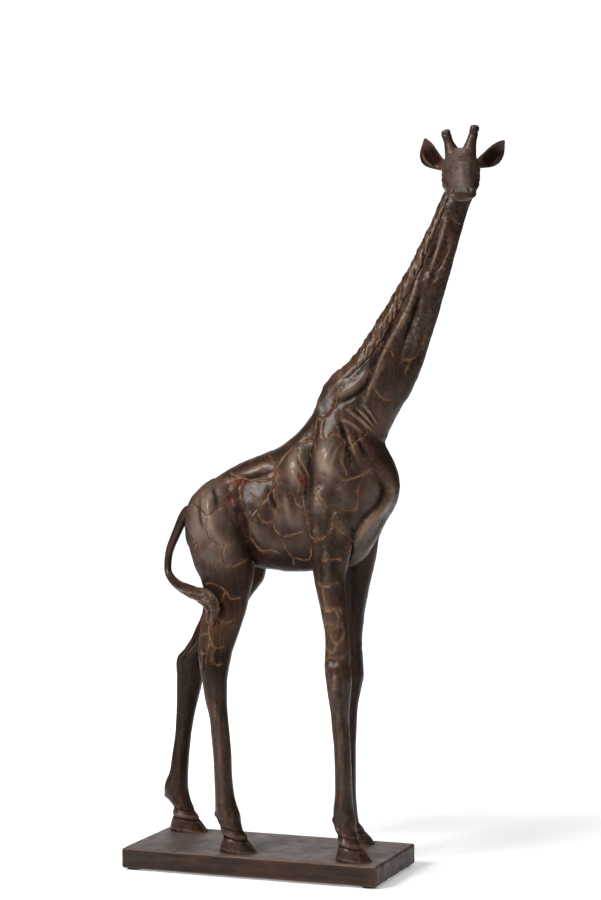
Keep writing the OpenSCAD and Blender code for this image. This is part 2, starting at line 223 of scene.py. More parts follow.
NECK = [
    (67, 532, 142.5, 472, 25), (70.5, 537.5, 150.5, 495, 24), (103, 565, 173.5, 529, 21),
    (130, 602, 191, 572, 18.5), (153, 638.5, 203, 611, 17), (174, 673, 215, 651, 15.5),
    (192, 708, 226, 689, 14.5), (208, 742, 237, 726, 14), (219, 765, 246, 750, 14),
    (222, 778, 247, 768, 12),
]
TAIL = [
    (-86, 0, 378, 10), (-95, 0, 385, 8.6), (-101, 0, 386, 7.2), (-107, 0, 379, 6.4),
    (-113, 0, 367, 5.7), (-119, 0, 354, 5.2), (-124, -1, 341, 4.7), (-126, -2, 328, 4.4),
    (-125, -4, 316, 4.4), (-119, -8, 308, 5), (-107, -18, 302, 5.6), (-92, -31, 298.5, 6.6),
    (-76, -43, 295.5, 7.4), (-65, -50, 293, 7.8), (-56, -53.5, 291, 7.6), (-49, -54.5, 287, 7),
    (-45.5, -54.5, 281, 6), (-46, -54, 274.5, 4.6), (-48, -53, 268, 3), (-50, -52, 261, 1.2),
]

# The head has its own frame: +x to the nose, +y to its left, +z up through the crown
SKULL = np.array([231.5, -4, 769])
HEAD_TURN = math.radians(73)
HEAD_NOD = math.radians(20)
HEAD_ROLL = math.radians(1)
# Distance towards the nose, half width, height of the top, height of the underside
HEAD = [
    (-21, 6, 7, -6), (-17, 13, 17, -13), (-9, 18, 26, -17), (1, 20.3, 31.5, -19), (10, 20.8, 27, -20),
    (18, 20.4, 20.5, -19.5), (28, 18.2, 15, -17.5), (40, 16, 10.5, -14.5), (52, 15.3, 7, -12),
    (62, 16, 5, -10.8), (69, 15.6, 3.5, -10), (74, 12.6, 1, -8.6), (77, 7, -2, -6.6),
]
# One horn's centre line, without the shortening: x, distance from the middle, height, radius
HORN = [
    (-1, 6.6, 12, 11), (-2, 7.8, 20, 10), (-3.2, 9.4, 26, 8.4), (-4.8, 11.2, 33, 6.7), (-6.6, 13.2, 40, 5.3),
    (-8.2, 14.8, 46, 5.4), (-9.3, 15.8, 50, 5.5), (-10.2, 16.6, 53.2, 4.9), (-10.5, 16.9, 54.4, 2.6),
]
HORN_ROOT = 20
SHORT_HORN = 0.86
# An eyeball's centre (x, distance from the middle, height) and its radius
EYE = (13, 15.8, 5)
EYE_RADIUS = 5.8
# Half the width of an ear at shares of the way from its root to its tip
EAR_SHARES = [0, 0.12, 0.3, 0.5, 0.68, 0.82, 0.92, 1]
EAR_HALF_WIDTHS = [4.5, 7.4, 10.8, 12.2, 11, 7.8, 4.4, 1.2]


def head_axes():
    """The head frame's x, y and z directions in the animal's frame."""
    turn_c, turn_s = math.cos(HEAD_TURN), math.sin(HEAD_TURN)
    nod_c, nod_s = math.cos(HEAD_NOD), math.sin(HEAD_NOD)
    roll_c, roll_s = math.cos(HEAD_ROLL), math.sin(HEAD_ROLL)
    forward = np.array([turn_c * nod_c, -turn_s * nod_c, -nod_s])
    left = np.array([turn_s, turn_c, 0.0])
    up = np.cross(forward, left)
    return np.array([forward, left * roll_c + up * roll_s, up * roll_c - left * roll_s])


HEAD_AXES = head_axes()


def from_head(points):
    return np.asarray(points, float) @ HEAD_AXES + SKULL


def to_head(points):
    return (points - SKULL) @ HEAD_AXES.T


def skull_loft():
    """The head without horns, ears and eyes, in its own frame."""
    rings = [
        oval([r[0], 0, (r[2] + r[3]) / 2], Y, Z, r[1], (r[2] - r[3]) / 2, 48, 2.05)
        for r in smooth_rows(HEAD)
    ]
    return loft(rings)


def horn_loft(side):
    """A horn over the root that both share; the right one is shorter."""
    tall = 1.0 if side > 0 else SHORT_HORN
    rows = []
    for x, out, z, radius in HORN:
        rows.append((x, side * out, HORN_ROOT + (z - HORN_ROOT) * tall if z > HORN_ROOT else z, radius))
    return swept_tube(rows, 24)


def ear_directions(side):
    """An ear's root, the way out along it, the way down across it, the way its cup faces, and its length."""
    root = np.array([-5, side * 17, 8.2 + 1.3 * side])
    out = unit(np.array([-0.16, side * (0.67 + 0.1 * side), 0.73 - 0.1 * side]))
    face = unit(np.array([0.93, side * 0.34, 0.02]))
    face = unit(face - out * (face @ out))
    return root, out, np.cross(out, face) * side, face, 41.5 + 0.5 * side


def ear_outline(side, t):
    """Half an ear's width, its half thickness, its cupping and how far it sags, t of the way to the tip."""
    half = np.interp(t, EAR_SHARES, EAR_HALF_WIDTHS)
    thick = 3.0 * (1 - t) ** 1.4 + 1.2
    cup = 7.5 * math.sin(math.pi * min(1, t * 1.1)) if t > 0.08 else 1.5
    sag = (5.1 - 1.1 * side) * math.sin(math.pi * t)
    return half * (1 - 0.04 * side), thick, cup, sag


def ear_loft(side):
    """A leaf-shaped, cupped ear: a bent oval swept from its stem to its tip."""
    root, out, across, face, length = ear_directions(side)
    w, h = np.cos(circle(28)), np.sin(circle(28))
    rings = []
    for t in np.linspace(0, 1, 26):
        half, thick, cup, sag = ear_outline(side, t)
        bend = cup * (w**2 - 0.5)
        centre = root + out * (t * length) + across * sag
        rings.append(centre + np.outer(w * half, across) + np.outer(h * thick + bend, face))
    return loft(rings)


def ear_point(side, t, w):
    """A point inside an ear's cup, t of the way to the tip and w of the way to its lower edge."""
    root, out, across, face, length = ear_directions(side)
    half, thick, cup, sag = ear_outline(side, t)
    lift = cup * (w * w - 0.5) + thick * math.sqrt(1 - w * w)
    return root + out * (t * length) + across * (sag + w * half) + face * lift


def head_lofts():
    """The skull, and a horn, an ear and an eyeball on each side, in the animal's frame."""
    parts = [skull_loft()]
    for side in (-1, 1):
        x, out, z = EYE
        parts += [horn_loft(side), ear_loft(side), ball((x, side * out, z), EYE_RADIUS)]
    return [(from_head(points), faces) for points, faces in parts]


# ---------------------------------------------------------------- meshes and objects

def to_metres(points):
    return points * MM + LIFT


def mesh_from(name, points, faces):
    mesh = bpy.data.meshes.new(name)
    mesh.from_pydata(points, [], faces)
    mesh.update()
    return mesh


def gather(parts):
    """Several (points, faces) as one."""
    points, faces, base = [], [], 0
    for part_points, part_faces in parts:
        points.append(part_points)
        faces += [[base + i for i in face] for face in part_faces]
        base += len(part_points)
    return np.vstack(points), faces


@contextlib.contextmanager
def edited(mesh):
    """A mesh opened for editing, and written back afterwards."""
    bm = bmesh.new()
    bm.from_mesh(mesh)
    yield bm
    bm.to_mesh(mesh)
    bm.free()


def new_object(name, data):
    obj = bpy.data.objects.new(name, data)
    bpy.context.collection.objects.link(obj)
    return obj


def modified(obj):
    return obj.evaluated_get(bpy.context.evaluated_depsgraph_get())


def bake(obj, modifier):
    """Replaces an object's mesh by what its modifier makes of it."""
    made = bpy.data.meshes.new_from_object(modified(obj))
    obj.modifiers.remove(modifier)
    obj.data = made


def fuse(name, parts, voxel):
    """Joins closed lofts into one even skin, in millimetres, as (points, quads)."""
    mesh = mesh_from(name, *gather(parts))
    obj = new_object(name, mesh)
    with edited(mesh) as bm:
        bmesh.ops.recalc_face_normals(bm, faces=bm.faces)
    remesh = obj.modifiers.new("even", "REMESH")
    remesh.mode = "VOXEL"
    remesh.voxel_size = voxel
    remesh.adaptivity = 0
    dense = modified(obj).to_mesh()
    co = np.empty(len(dense.vertices) * 3)
    dense.vertices.foreach_get("co", co)
    quads = np.empty(len(dense.polygons) * 4, int)
    dense.polygons.foreach_get("vertices", quads)
    bpy.data.objects.remove(obj)
    bpy.data.meshes.remove(mesh)
    return co.reshape(-1, 3), quads.reshape(-1, 4)


# ---------------------------------------------------------------- skins: dense meshes that can be carved

# Four layers of random numbers that the noise is made from
LATTICE_SIDE = 32
LATTICE = np.random.default_rng(11).random((4, LATTICE_SIDE, LATTICE_SIDE, LATTICE_SIDE))
# What the materials read from a skin, point by point, from 0 to 1
MARKS = ("line", "red", "hair", "wear_and_highlight", "painted_shade", "painted_sheen")


def noise(points, size, layer=0):
    """Smooth value noise from -1 to 1 with lumps of the given size."""
    where = points / size
    cell = np.floor(where).astype(int)
    part = where - cell
    part = part * part * (3 - 2 * part)
    total = np.zeros(len(points))
    for corner in itertools.product((0, 1), repeat=3):
        weight = np.prod(np.where(corner, part, 1 - part), axis=1)
        i, j, k = ((cell + corner) % LATTICE_SIDE).T
        total += weight * LATTICE[layer][i, j, k]
    return total * 2 - 1


def path_distance(points, path, reach):
    """Which points lie within reach of a polyline's box, how far off it and how far along it they are."""
    path = np.asarray(path, float)
    which = np.flatnonzero(np.all((points > path.min(0) - reach) & (points < path.max(0) + reach), axis=1))
    near = points[which]
    lengths = np.linalg.norm(np.diff(path, axis=0), axis=1)
    off = np.full(len(near), np.inf)
    along = np.zeros(len(near))
    passed = 0.0
    for a, b, length in zip(path[:-1], path[1:], lengths):
        t = np.clip((near - a) @ (b - a) / length**2, 0, 1)
        d = np.linalg.norm(near - a - t[:, None] * (b - a), axis=1)
        closer = d < off
        off[closer] = d[closer]
        along[closer] = (passed + t * length)[closer]
        passed += length
    return which, off, along / passed


def fade_ends(along, taper, least):
    """Lets a stroke die away over a share of its length at both ends, down to the least given."""
    return np.minimum(1, np.minimum(along, 1 - along) / taper + least)


class Skin:
    """A quad mesh held in arrays, with what carving needs."""

    def __init__(self, name, parts, voxel):
        self.co, self.quads = fuse(name, parts, voxel)
        q = self.quads
        ends = np.vstack([q[:, [0, 1]], q[:, [1, 2]], q[:, [2, 3]], q[:, [3, 0]]])
        self.a, self.b = ends[:, 0], ends[:, 1]
        count = len(self.co)
        self.degree = np.bincount(self.a, minlength=count) + np.bincount(self.b, minlength=count)
        self.rise = np.zeros(count)
        self.marks = {mark: np.zeros(count) for mark in MARKS}

    def spread(self, values):
        """The mean of each point's neighbours."""
        n = len(self.co)
        columns = []
        for column in values.reshape(n, -1).T:
            total = np.bincount(self.a, column[self.b], n) + np.bincount(self.b, column[self.a], n)
            columns.append(total / self.degree)
        return np.array(columns).T.reshape(values.shape)

    def smooth(self, times):
        """Evens the skin out, and finds its normals again."""
        for _ in range(times):
            self.co += (self.spread(self.co) - self.co) * 0.6
        self.find_normals()

    def find_normals(self):
        """Each point's outward direction, weighed by the faces round it."""
        p = self.co[self.quads]
        face = np.cross(p[:, 2] - p[:, 0], p[:, 3] - p[:, 1])
        out = np.zeros_like(self.co)
        for k in range(4):
            for axis in range(3):
                out[:, axis] += np.bincount(self.quads[:, k], face[:, axis], len(self.co))
        self.normals = unit(out + 1e-12)

    def settle(self):
        """Moves every point along its normal by what the strokes have asked for."""
        self.find_normals()
        self.co += self.normals * self.rise[:, None]
        self.rise[:] = 0
        self.find_normals()

    def mark(self, name, values, which=slice(None)):
        """Raises a mark to the values given, where it is lower."""
        self.marks[name][which] = np.maximum(self.marks[name][which], values)

    def seen_as(self, dimensions):
        """The points as (x, height), or as they are when 3 dimensions are asked for."""
        return self.co[:, [0, 2]] if dimensions == 2 else self.co

    def stroke(self, path, width, height, side=0, mark=None, taper=0.12, curve=3):
        """A soft ridge or groove along a path: of (x, height) seen from one side, or of 3-D points."""
        path = smooth_rows(path, curve)
        which, off, along = path_distance(self.seen_as(path.shape[1]), path, width * 2.5)
        profile = hump(off, width) * fade_ends(along, taper, 0.15)
        if side:
            profile *= smoothstep(0.05, 0.4, side * self.normals[which, 1])
            profile *= smoothstep(-4, 0, side * self.co[which, 1])
        self.rise[which] += profile * height
        if mark:
            self.mark(mark, profile, which)

    def bulge(self, centre, radii, height, side=0):
        """A soft swelling, or a hollow, over an oval: of (x, height) from one side, or a 3-D ball."""
        profile = np.exp(-(off_oval(self.seen_as(len(centre)), centre, radii) ** 2) * 1.6)
        if side:
            profile *= smoothstep(-0.05, 0.45, side * self.normals[:, 1])
        self.rise += profile * height
        # Swellings seen from the side get a painted highlight on their tops
        if len(centre) == 2:
            self.mark("painted_sheen", profile * min(1.0, height / FULL_SHEEN))

    def find_wear_and_shade(self, fine, broad, strength=1.0):
        """Marks raised edges pale, as wear and painted highlight, and paints shade into the hollows."""
        mean = self.co.copy()
        for step in range(broad):
            mean += (self.spread(mean) - mean) * 0.8
            if step == fine - 1:
                small = np.sum((self.co - mean) * self.normals, axis=1)
        large = np.sum((self.co - mean) * self.normals, axis=1)
        height = (small * 3.0 + large * 0.4) * strength
        # Raised places paled as wear and painted highlight, hollows darkened with painted shade
        self.mark("wear_and_highlight", smoothstep(0.15, 1.1, height))
        self.mark("painted_shade", smoothstep(0.05, 0.85, -height))


# ---------------------------------------------------------------- the body's carving

NEAR, FAR = -1, 1
RELIEF = 1.35
# How high a swelling has to be for its top to carry the full painted highlight
FULL_SHEEN = 5.5
FLANKS = ((NEAR, LEG_FRONT_RIGHT, LEG_HIND_RIGHT), (FAR, LEG_FRONT_LEFT, LEG_HIND_LEFT))
LEGS = (LEG_FRONT_RIGHT, LEG_FRONT_LEFT, LEG_HIND_RIGHT, LEG_HIND_LEFT)
# The incised patch lines of one flank, as (x, height), drawn on both sides
PATCH_LINES = [
    [(-83, 348), (-72, 352), (-66, 335), (-50, 328), (-28, 327), (-15, 334), (-10, 340)],
    [(-92, 372), (-84, 362), (-72, 352)],
    [(-92, 395), (-80, 398), (-68, 392), (-55, 385), (-45, 395), (-38, 395)],
    [(-55, 385), (-58, 370), (-50, 356), (-36, 352), (-24, 356)],
    [(-36, 352), (-38, 340), (-36, 328)],
    [(-68, 392), (-72, 410), (-66, 422)],
    [(-18, 392), (-8, 386), (0, 393), (8, 402), (15, 410), (22, 418), (18, 428)],
    [(-8, 386), (-8, 375), (-10, 362), (-5, 352), (2, 345), (18, 345), (30, 340)],
    [(2, 392), (5, 383), (12, 379), (21, 379), (22, 370), (32, 361)],
    [(22, 420), (28, 402), (24, 390), (22, 378)],
    [(32, 361), (45, 366), (57, 370)],
    [(32, 361), (33, 350), (40, 338), (38, 326)],
    [(40, 338), (55, 335), (62, 342), (64, 356)],
    [(-48, 438), (-35, 432), (-20, 428), (0, 426), (18, 428), (22, 440), (28, 450), (40, 463), (46, 468)],
    [(-20, 428), (-22, 415), (-18, 402)],
    [(22, 440), (14, 450), (6, 455)],
    [(48, 470), (66, 472), (70, 460)],
    [(66, 472), (68, 500)],
    [(45, 465), (50, 455), (55, 445)],
    [(40, 415), (47, 408), (50, 400), (57, 397)],
    [(58, 430), (56, 415), (58, 400), (60, 385), (62, 370), (66, 362), (80, 361), (86, 368), (92, 376),
     (93, 388), (100, 393), (116, 394), (119, 402), (120, 415), (124, 428), (122, 433)],
    [(70, 437), (88, 432), (104, 428), (115, 430), (122, 433), (132, 438), (140, 436)],
    [(85, 475), (92, 480), (104, 470), (100, 455), (106, 440), (110, 430)],
    [(85, 475), (78, 480), (79, 498)],
    [(106, 463), (116, 470), (125, 478), (130, 483)],
    [(78, 420), (72, 412), (82, 404), (86, 394)],
    [(92, 376), (104, 368), (114, 356)],
    [(76, 337), (90, 338), (102, 339)],
    [(68, 500), (78, 498), (88, 508), (92, 522), (97, 530)],
    [(128, 533), (134, 532), (140, 524), (147, 518), (159, 517)],
    [(143, 579), (150, 576), (155, 573), (156, 566)],
    [(131, 589), (139, 586), (141, 580), (138, 575)],
    [(163, 564), (174, 563), (181, 566), (185, 575), (189, 584), (194, 598), (195, 607)],
    [(174, 562), (173, 556), (170, 547)],
    [(158, 630), (165, 626), (170, 618), (178, 615)],
    [(189, 670), (197, 663), (207, 664), (214, 675), (218, 690), (216, 696)],
    [(196, 666), (202, 657), (207, 653)],
    [(191, 705), (201, 704)],
    [(220, 728), (226, 716), (232, 713)],
]
# Lines round a foreleg and a hind leg: (offset from the leg's centre line, height)
FORELEG_LINES = [
    [(-12, 312), (-4, 308), (8, 310), (14, 314)],
    [(-12, 283), (-3, 281), (8, 283), (14, 279)],
    [(-4, 308), (-6, 296), (-3, 281)],
    [(-13, 262), (-5, 266), (4, 262), (13, 265)],
    [(6, 283), (8, 273), (4, 262)],
    [(-3, 264), (-4, 252), (2, 244), (9, 250), (13, 258)],
    [(2, 244), (-3, 234), (-12, 238)],
    [(-14, 222), (-6, 228), (4, 226), (13, 230)],
]
HIND_LEG_LINES = [
    [(-26, 305), (-10, 307), (4, 300), (12, 290), (24, 292)],
    [(4, 300), (0, 286), (-10, 280), (-24, 284)],
    [(-22, 268), (-10, 262), (-2, 268), (8, 262), (20, 266)],
    [(-2, 268), (-4, 280)],
    [(-10, 262), (-8, 250), (-2, 240), (4, 234), (16, 236)],
    [(-8, 250), (-20, 246)],
    [(-2, 240), (-8, 228), (-18, 226)],
    [(4, 234), (2, 222), (8, 214), (15, 216)],
]

# Ridges and grooves of muscle: (path, width, height), seen from either side
MUSCLES = [
    ([(-36, 418), (-31, 402), (-23, 386), (-15, 366), (-9, 350), (-3, 334), (0, 322)], 8, -4.2),
    ([(-46, 424), (-34, 416), (-24, 404)], 7, -1.8),
    ([(-20, 412), (-12, 396), (-5, 380), (0, 362)], 9, 1.6),
    ([(-66, 416), (-58, 398), (-50, 376), (-44, 356)], 10, 2.4),
    ([(-82, 400), (-80, 380), (-72, 360)], 9, 1.2),
    ([(-62, 352), (-48, 340), (-34, 330)], 8, 1.6),
    ([(-72, 340), (-64, 324), (-58, 306)], 7, -1.2),
    ([(66, 488), (64, 470), (63, 452), (62, 434), (61, 416), (62, 400), (66, 384)], 6.5, -2.8),
    ([(47, 456), (49, 440), (52, 424), (54, 412)], 9, 2.3),
    ([(80, 472), (86, 456), (92, 440), (94, 428)], 9, 3.0),
    ([(74, 462), (78, 446), (80, 430)], 5, 1.2),
    ([(74, 422), (76, 408), (74, 394)], 8, 2.0),
    ([(96, 424), (102, 410), (100, 396)], 9, 1.4),
    ([(70, 388), (72, 376), (76, 366)], 7, 1.5),
    ([(96, 488), (104, 476), (110, 462), (112, 446), (116, 436)], 7, -2.6),
    ([(101, 326), (108, 342), (118, 360), (132, 380), (142, 398), (150, 416)], 7, 2.2),
    ([(96, 334), (102, 350), (112, 368), (124, 388), (134, 408)], 7, -2.0),
    ([(124, 350), (138, 372), (148, 392)], 6, -1.4),
    ([(84, 356), (86, 342), (88, 326), (90, 308)], 6, 1.6),
    ([(76, 350), (77, 334), (79, 316)], 4, -1.2),
    ([(98, 350), (98, 334), (98, 318)], 5, -1.2),
    ([(118, 506), (123, 528), (131, 552), (141, 575), (148, 592), (158, 614), (168, 636)], 4.5, -2.2),
    ([(108, 540), (120, 566), (134, 592), (150, 622)], 6, 1.7),
    ([(128, 534), (139, 556), (151, 578), (168, 606), (178, 626), (190, 652), (200, 682)], 5, 2.6),
    ([(160, 548), (166, 572), (174, 596), (181, 618), (190, 652), (198, 674), (206, 692), (214, 714)],
     4.5, -2.4),
    ([(180, 560), (186, 580), (192, 598), (197, 614)], 3.5, -1.6),
    ([(176, 556), (182, 580), (190, 604), (200, 630), (208, 656), (218, 686)], 5.5, 1.4),
    ([(198, 640), (206, 664), (214, 690), (222, 712)], 4, -1.3),
    ([(150, 612), (166, 640), (180, 668), (196, 700), (210, 730)], 5, 1.6),
    ([(196, 650), (204, 676), (212, 700), (220, 724)], 3, 1.3),
    ([(206, 650), (212, 672), (220, 700)], 3, -1.0),
]
# Sharper folds of skin with tops paled as wear and painted highlight, and the creases beside them darkened
# with painted shade: (path, width, height)
FOLDS = [
    ([(104, 507), (119, 497), (134, 482)], 1.8, 1.7),
    ([(114, 510), (126, 499), (136, 486)], 1.5, 1.5),
    ([(124, 512), (132, 502), (138, 490)], 1.4, 1.2),
    ([(100, 497), (112, 490), (124, 480)], 1.6, 1.0),
    ([(106, 480), (111, 470), (117, 458), (125, 446)], 3.0, 2.6),
    ([(97, 497), (104, 478), (112, 451)], 3.0, -2.4),
    ([(115, 482), (122, 468), (131, 452)], 2.4, -1.6),
    ([(146, 448), (154, 420), (149, 403), (134, 387), (118, 361), (111, 340)], 3.6, 2.0),
    ([(138, 440), (146, 420), (140, 402), (126, 384), (112, 364)], 3.0, -1.8),
    ([(47, 449), (54, 438), (60, 427)], 1.5, 1.0),
    ([(53, 451), (59, 440), (64, 428)], 1.5, 1.0),
    ([(44, 440), (50, 430), (56, 420)], 1.4, 0.8),
    ([(94, 472), (89, 456), (84, 440)], 1.6, 0.9),
    ([(100, 467), (95, 452), (92, 438)], 1.6, 0.9),
    ([(104, 463), (104, 450), (105, 436)], 1.5, 0.8),
    ([(-36, 427), (-9, 438), (21, 447)], 3.6, 1.4),
    ([(-40, 418), (-12, 429), (16, 438)], 3.4, -1.2),
    ([(82, 520), (108, 531), (132, 554)], 3.4, 1.6),
    ([(88, 512), (114, 524), (138, 548)], 3.0, -1.4),
    ([(126, 516), (132, 535), (149, 563)], 3.0, 1.8),
    ([(80, 529), (93, 537), (117, 561)], 2.6, 1.2),
    ([(-60, 420), (-50, 404), (-46, 388)], 3.0, -1.2),
    ([(-56, 408), (-54, 384), (-46, 366), (-39, 350)], 4.5, 1.6),
    ([(-70, 404), (-66, 384), (-60, 366)], 3.0, -1.0),
    ([(12, 420), (20, 404), (30, 388)], 3.0, -1.0),
    ([(34, 412), (40, 394), (42, 374)], 3.2, 1.0),
]
# Rounded swellings: (centre, radii, height)
SWELLINGS = [
    ((-62, 388), (26, 36), 3.2), ((-44, 345), (20, 24), 1.6), ((4, 404), (11, 12), 1.2),
    ((30, 388), (15, 18), 1.2), ((2, 366), (12, 14), 0.9), ((22, 352), (18, 12), 0.8),
    ((46, 440), (14, 26), 3.4), ((86, 452), (16, 28), 3.8), ((76, 406), (14, 16), 1.8),
    ((108, 412), (12, 16), 1.2), ((50, 382), (12, 16), 1.0), ((-30, 424), (14, 10), -1.4),
    ((-36, 406), (8, 10), -2.2), ((20, 470), (22, 8), 0.8), ((104, 372), (14, 16), 1.2),
    ((138, 412), (12, 26), 0.8), ((70, 512), (8, 14), 1.2), ((100, 540), (14, 18), 1.2),
    ((4, 438), (20, 8), -0.9),
]
# Low places darkened with painted shade: (centre, radii, amount)
SHADE_PLACES = [
    ((30, 334), (64, 17), 0.8), ((-42, 292), (34, 36), 0.75), ((-18, 372), (11, 26), 0.8),
    ((66, 424), (6, 38), 0.75), ((168, 556), (22, 34), 0.5), ((116, 440), (9, 30), 0.7),
    ((-90, 360), (10, 30), 0.5), ((44, 412), (8, 12), 0.6), ((16, 384), (8, 14), 0.6),
    ((92, 412), (8, 12), 0.6), ((66, 500), (8, 16), 0.5), ((-52, 440), (20, 8), 0.6),
    ((-45, 224), (26, 46), 0.75), ((96, 360), (16, 22), 0.5), ((34, 366), (26, 20), 0.5),
    ((-84, 330), (12, 22), 0.5),
]
# Short scratches of hair behind the shoulder: x, height of the top, length
SCRATCHES = [
    (52, 446, 26), (55, 452, 34), (58, 440, 30), (61, 456, 24), (64, 444, 34), (67, 436, 22), (49, 432, 16),
]
MANE_WIDTH = [(500, 10), (540, 14), (590, 19), (640, 17), (690, 13), (760, 8)]
# The line of the back, as (x, height), and the fold across the chest
BACK = [(-70, 423), (-50, 435), (-25, 447), (0, 456), (20, 466), (39, 481), (51, 495), (60, 508)]
CHEST_FOLD = [(117, 360), (126, 372), (135, 385), (143, 400), (150, 415)]
# Red-brown places: (centre, radii)
RED_PLACES = [((-36, 404), (5, 9)), ((56, 428), (6, 8)), ((-30, 424), (14, 5)), ((24, 434), (10, 5))]
# Tendons down the shanks: offset from the leg's centre line, heights of the ends, width, height of the stroke
TENDONS = [(-4, 180, 60, 2.6, -0.8), (3, 176, 64, 3.4, 0.5), (-8, 150, 70, 2.2, 0.4)]
# Knees, hocks and fetlocks: three points (offset from the leg's centre line, height), width, height
FORELEG_DETAILS = [
    ((-10, 227), (0, 224), (9, 228), 2.4, -0.9), ((-9, 220), (0, 218), (8, 221), 2.6, 0.7),
    ((-1, 209), (1, 202), (-1, 190), 4.2, 1.0), ((6, 212), (7, 200), (4, 184), 2.2, -0.7),
    ((-10, 214), (-9, 202), (-8, 190), 2.4, -0.9), ((10, 50), (4, 40), (0, 30), 2.4, -0.6),
    ((-7, 52), (-8, 42), (-6, 32), 3.2, 0.9),
]
HIND_LEG_DETAILS = [
    ((-10, 236), (-9, 222), (-8, 206), 3.0, -1.5), ((-3, 250), (0, 232), (2, 214), 5.0, 1.5),
    ((-14, 232), (-11, 220), (-12, 208), 1.6, 1.1), ((-5, 242), (-4, 228), (-6, 214), 1.6, 0.9),
    ((-4, 200), (-2, 188), (-2, 176), 3.0, -0.8), ((8, 238), (9, 224), (7, 208), 2.6, -0.9),
    ((9, 50), (4, 40), (0, 30), 2.4, -0.6), ((-7, 54), (-8, 44), (-6, 34), 3.2, 0.9),
]


def wander(path, side, amount=0.9):
    """A hand's unsteadiness along a drawn line, different on each side."""
    layer = 0 if side == NEAR else 2
    path = smooth_rows(path)
    shift = np.array([noise(np.c_[path, path[:, :1] * 0], 9.0, layer + k) for k in (0, 1)]).T
    return path + shift * amount


def at_heights(rows, heights, columns):
    """Columns of a leg's table at the heights given."""
    table = np.array(rows, float)
    return [np.interp(heights, table[:, 0], table[:, column]) for column in columns]


def on_leg(rows, path):
    """A path of (offset from the leg's centre line, height) as (x, height)."""
    path = np.array(path, float)
    path[:, 0] += at_heights(rows, path[:, 1], (1,))[0]
    return path


def cut_line(skin, path, side, depth=1.0):
    """One incised patch line, with the cells either side of it left a little pillowed."""
    skin.stroke(path, 5.5, -0.6 * depth, side, taper=0.2, curve=1)
    skin.stroke(path, 1.15, -0.8 * depth, side, mark="line", taper=0.1, curve=1)


def carve_patches(skin):
    """The incised lines, fainter on the upper neck and in the middle of the haunch."""
    for side, foreleg, hind_leg in FLANKS:
        slide = 0 if side == NEAR else 2.5
        for path in PATCH_LINES:
            cut_line(skin, wander(np.array(path) + [slide, slide * 0.6], side), side)
        for rows, lines in ((foreleg, FORELEG_LINES), (hind_leg, HIND_LEG_LINES)):
            for path in lines:
                cut_line(skin, wander(on_leg(rows, path), side, 0.6), side, 0.8)
    skin.marks["line"] *= 1 - 0.4 * smoothstep(570, 650, skin.co[:, 2])
    skin.marks["line"] *= 1 - 0.55 * hump(off_oval(skin.seen_as(2), (-72, 384), (26, 34)))


def carve_flank(skin, side):
    """Muscles, swellings, folds and scratched hair on one side."""
    for path, width, height in MUSCLES:
        skin.stroke(path, width, height * RELIEF, side, taper=0.3)
    for centre, radii, height in SWELLINGS:
        skin.bulge(centre, radii, height * RELIEF, side)
    for path, width, height in FOLDS:
        # Fold tops paled as wear and painted highlight, creases darkened with painted shade
        skin.stroke(path, width, height, side, mark="wear_and_highlight" if 0 < height else "painted_shade", taper=0.35)
    for x, top, length in SCRATCHES:
        path = [(x, top), (x + 1.5, top - length * 0.5), (x + 0.5, top - length)]
        skin.stroke(path, 1.2, -0.9, side, taper=0.4)
    skin.stroke(CHEST_FOLD, 4, 0.8, side)


def redden_and_shade_flank(skin, side):
    """Red-brown places, and painted shade in the low places, on one side."""
    gate = smoothstep(0.1, 0.5, side * skin.normals[:, 1])
    for centre, radii in RED_PLACES:
        skin.mark("red", hump(off_oval(skin.seen_as(2), centre, radii)) * gate)
    # Painted shade in the low places
    for centre, radii, amount in SHADE_PLACES:
        skin.mark("painted_shade", hump(off_oval(skin.seen_as(2), centre, radii)) * gate * amount)


def carve_muscles(skin):
    """The shapes of both flanks, and the ridge of the back."""
    for side in (NEAR, FAR):
        carve_flank(skin, side)
        redden_and_shade_flank(skin, side)
    skin.stroke([(x, 0, height + 1) for x, height in BACK], 5, 1.2)


def carve_mane(skin):
    """A raised strip of combed hair down the back of the neck, with a ragged edge."""
    crest = np.array([(r[0], r[1]) for r in NECK[:-1]])
    which, off, along = path_distance(skin.seen_as(2), smooth_rows(crest), 24)
    where = skin.co[which]
    height = where[:, 2]
    run = along * np.sum(np.linalg.norm(np.diff(crest, axis=0), axis=1))
    begins = smoothstep(535, 548, height)
    width = np.interp(height, *np.array(MANE_WIDTH).T) + 2.2 * noise(where, 9.0, 3)
    on = smoothstep(0.8, -0.8, off - width) * begins * smoothstep(0, 0.03, 1 - along)
    flow = np.c_[off + run * 0.4, run * 0.2, np.sign(where[:, 1]) * 30 + 60]
    comb = noise(flow, 2.7, 0) * 1.6
    fine = noise(flow * [1, 2, 1], 1.8, 1) * 1.4
    drift = noise(where, 13.0, 2)
    tooth = (run / 9.5 + 0.9 * drift) % 1.0
    ragged = (smoothstep(0, 0.75, tooth) * smoothstep(1, 0.86, tooth) - 0.4) * hump(off, 4.0)
    ragged *= 0.55 + 0.45 * noise(where, 7.0, 1)
    edge = hump(off - width, 1.3) * begins
    skin.rise[which] += on * (0.9 + 0.42 * comb + 0.35 * fine + 0.6 * ragged) - edge * 0.6
    skin.mark("hair", np.clip(on * (0.45 + 0.15 * comb + 0.4 * fine), 0, 1), which)
    skin.mark("line", edge * 0.5 * (0.6 + 0.6 * drift), which)


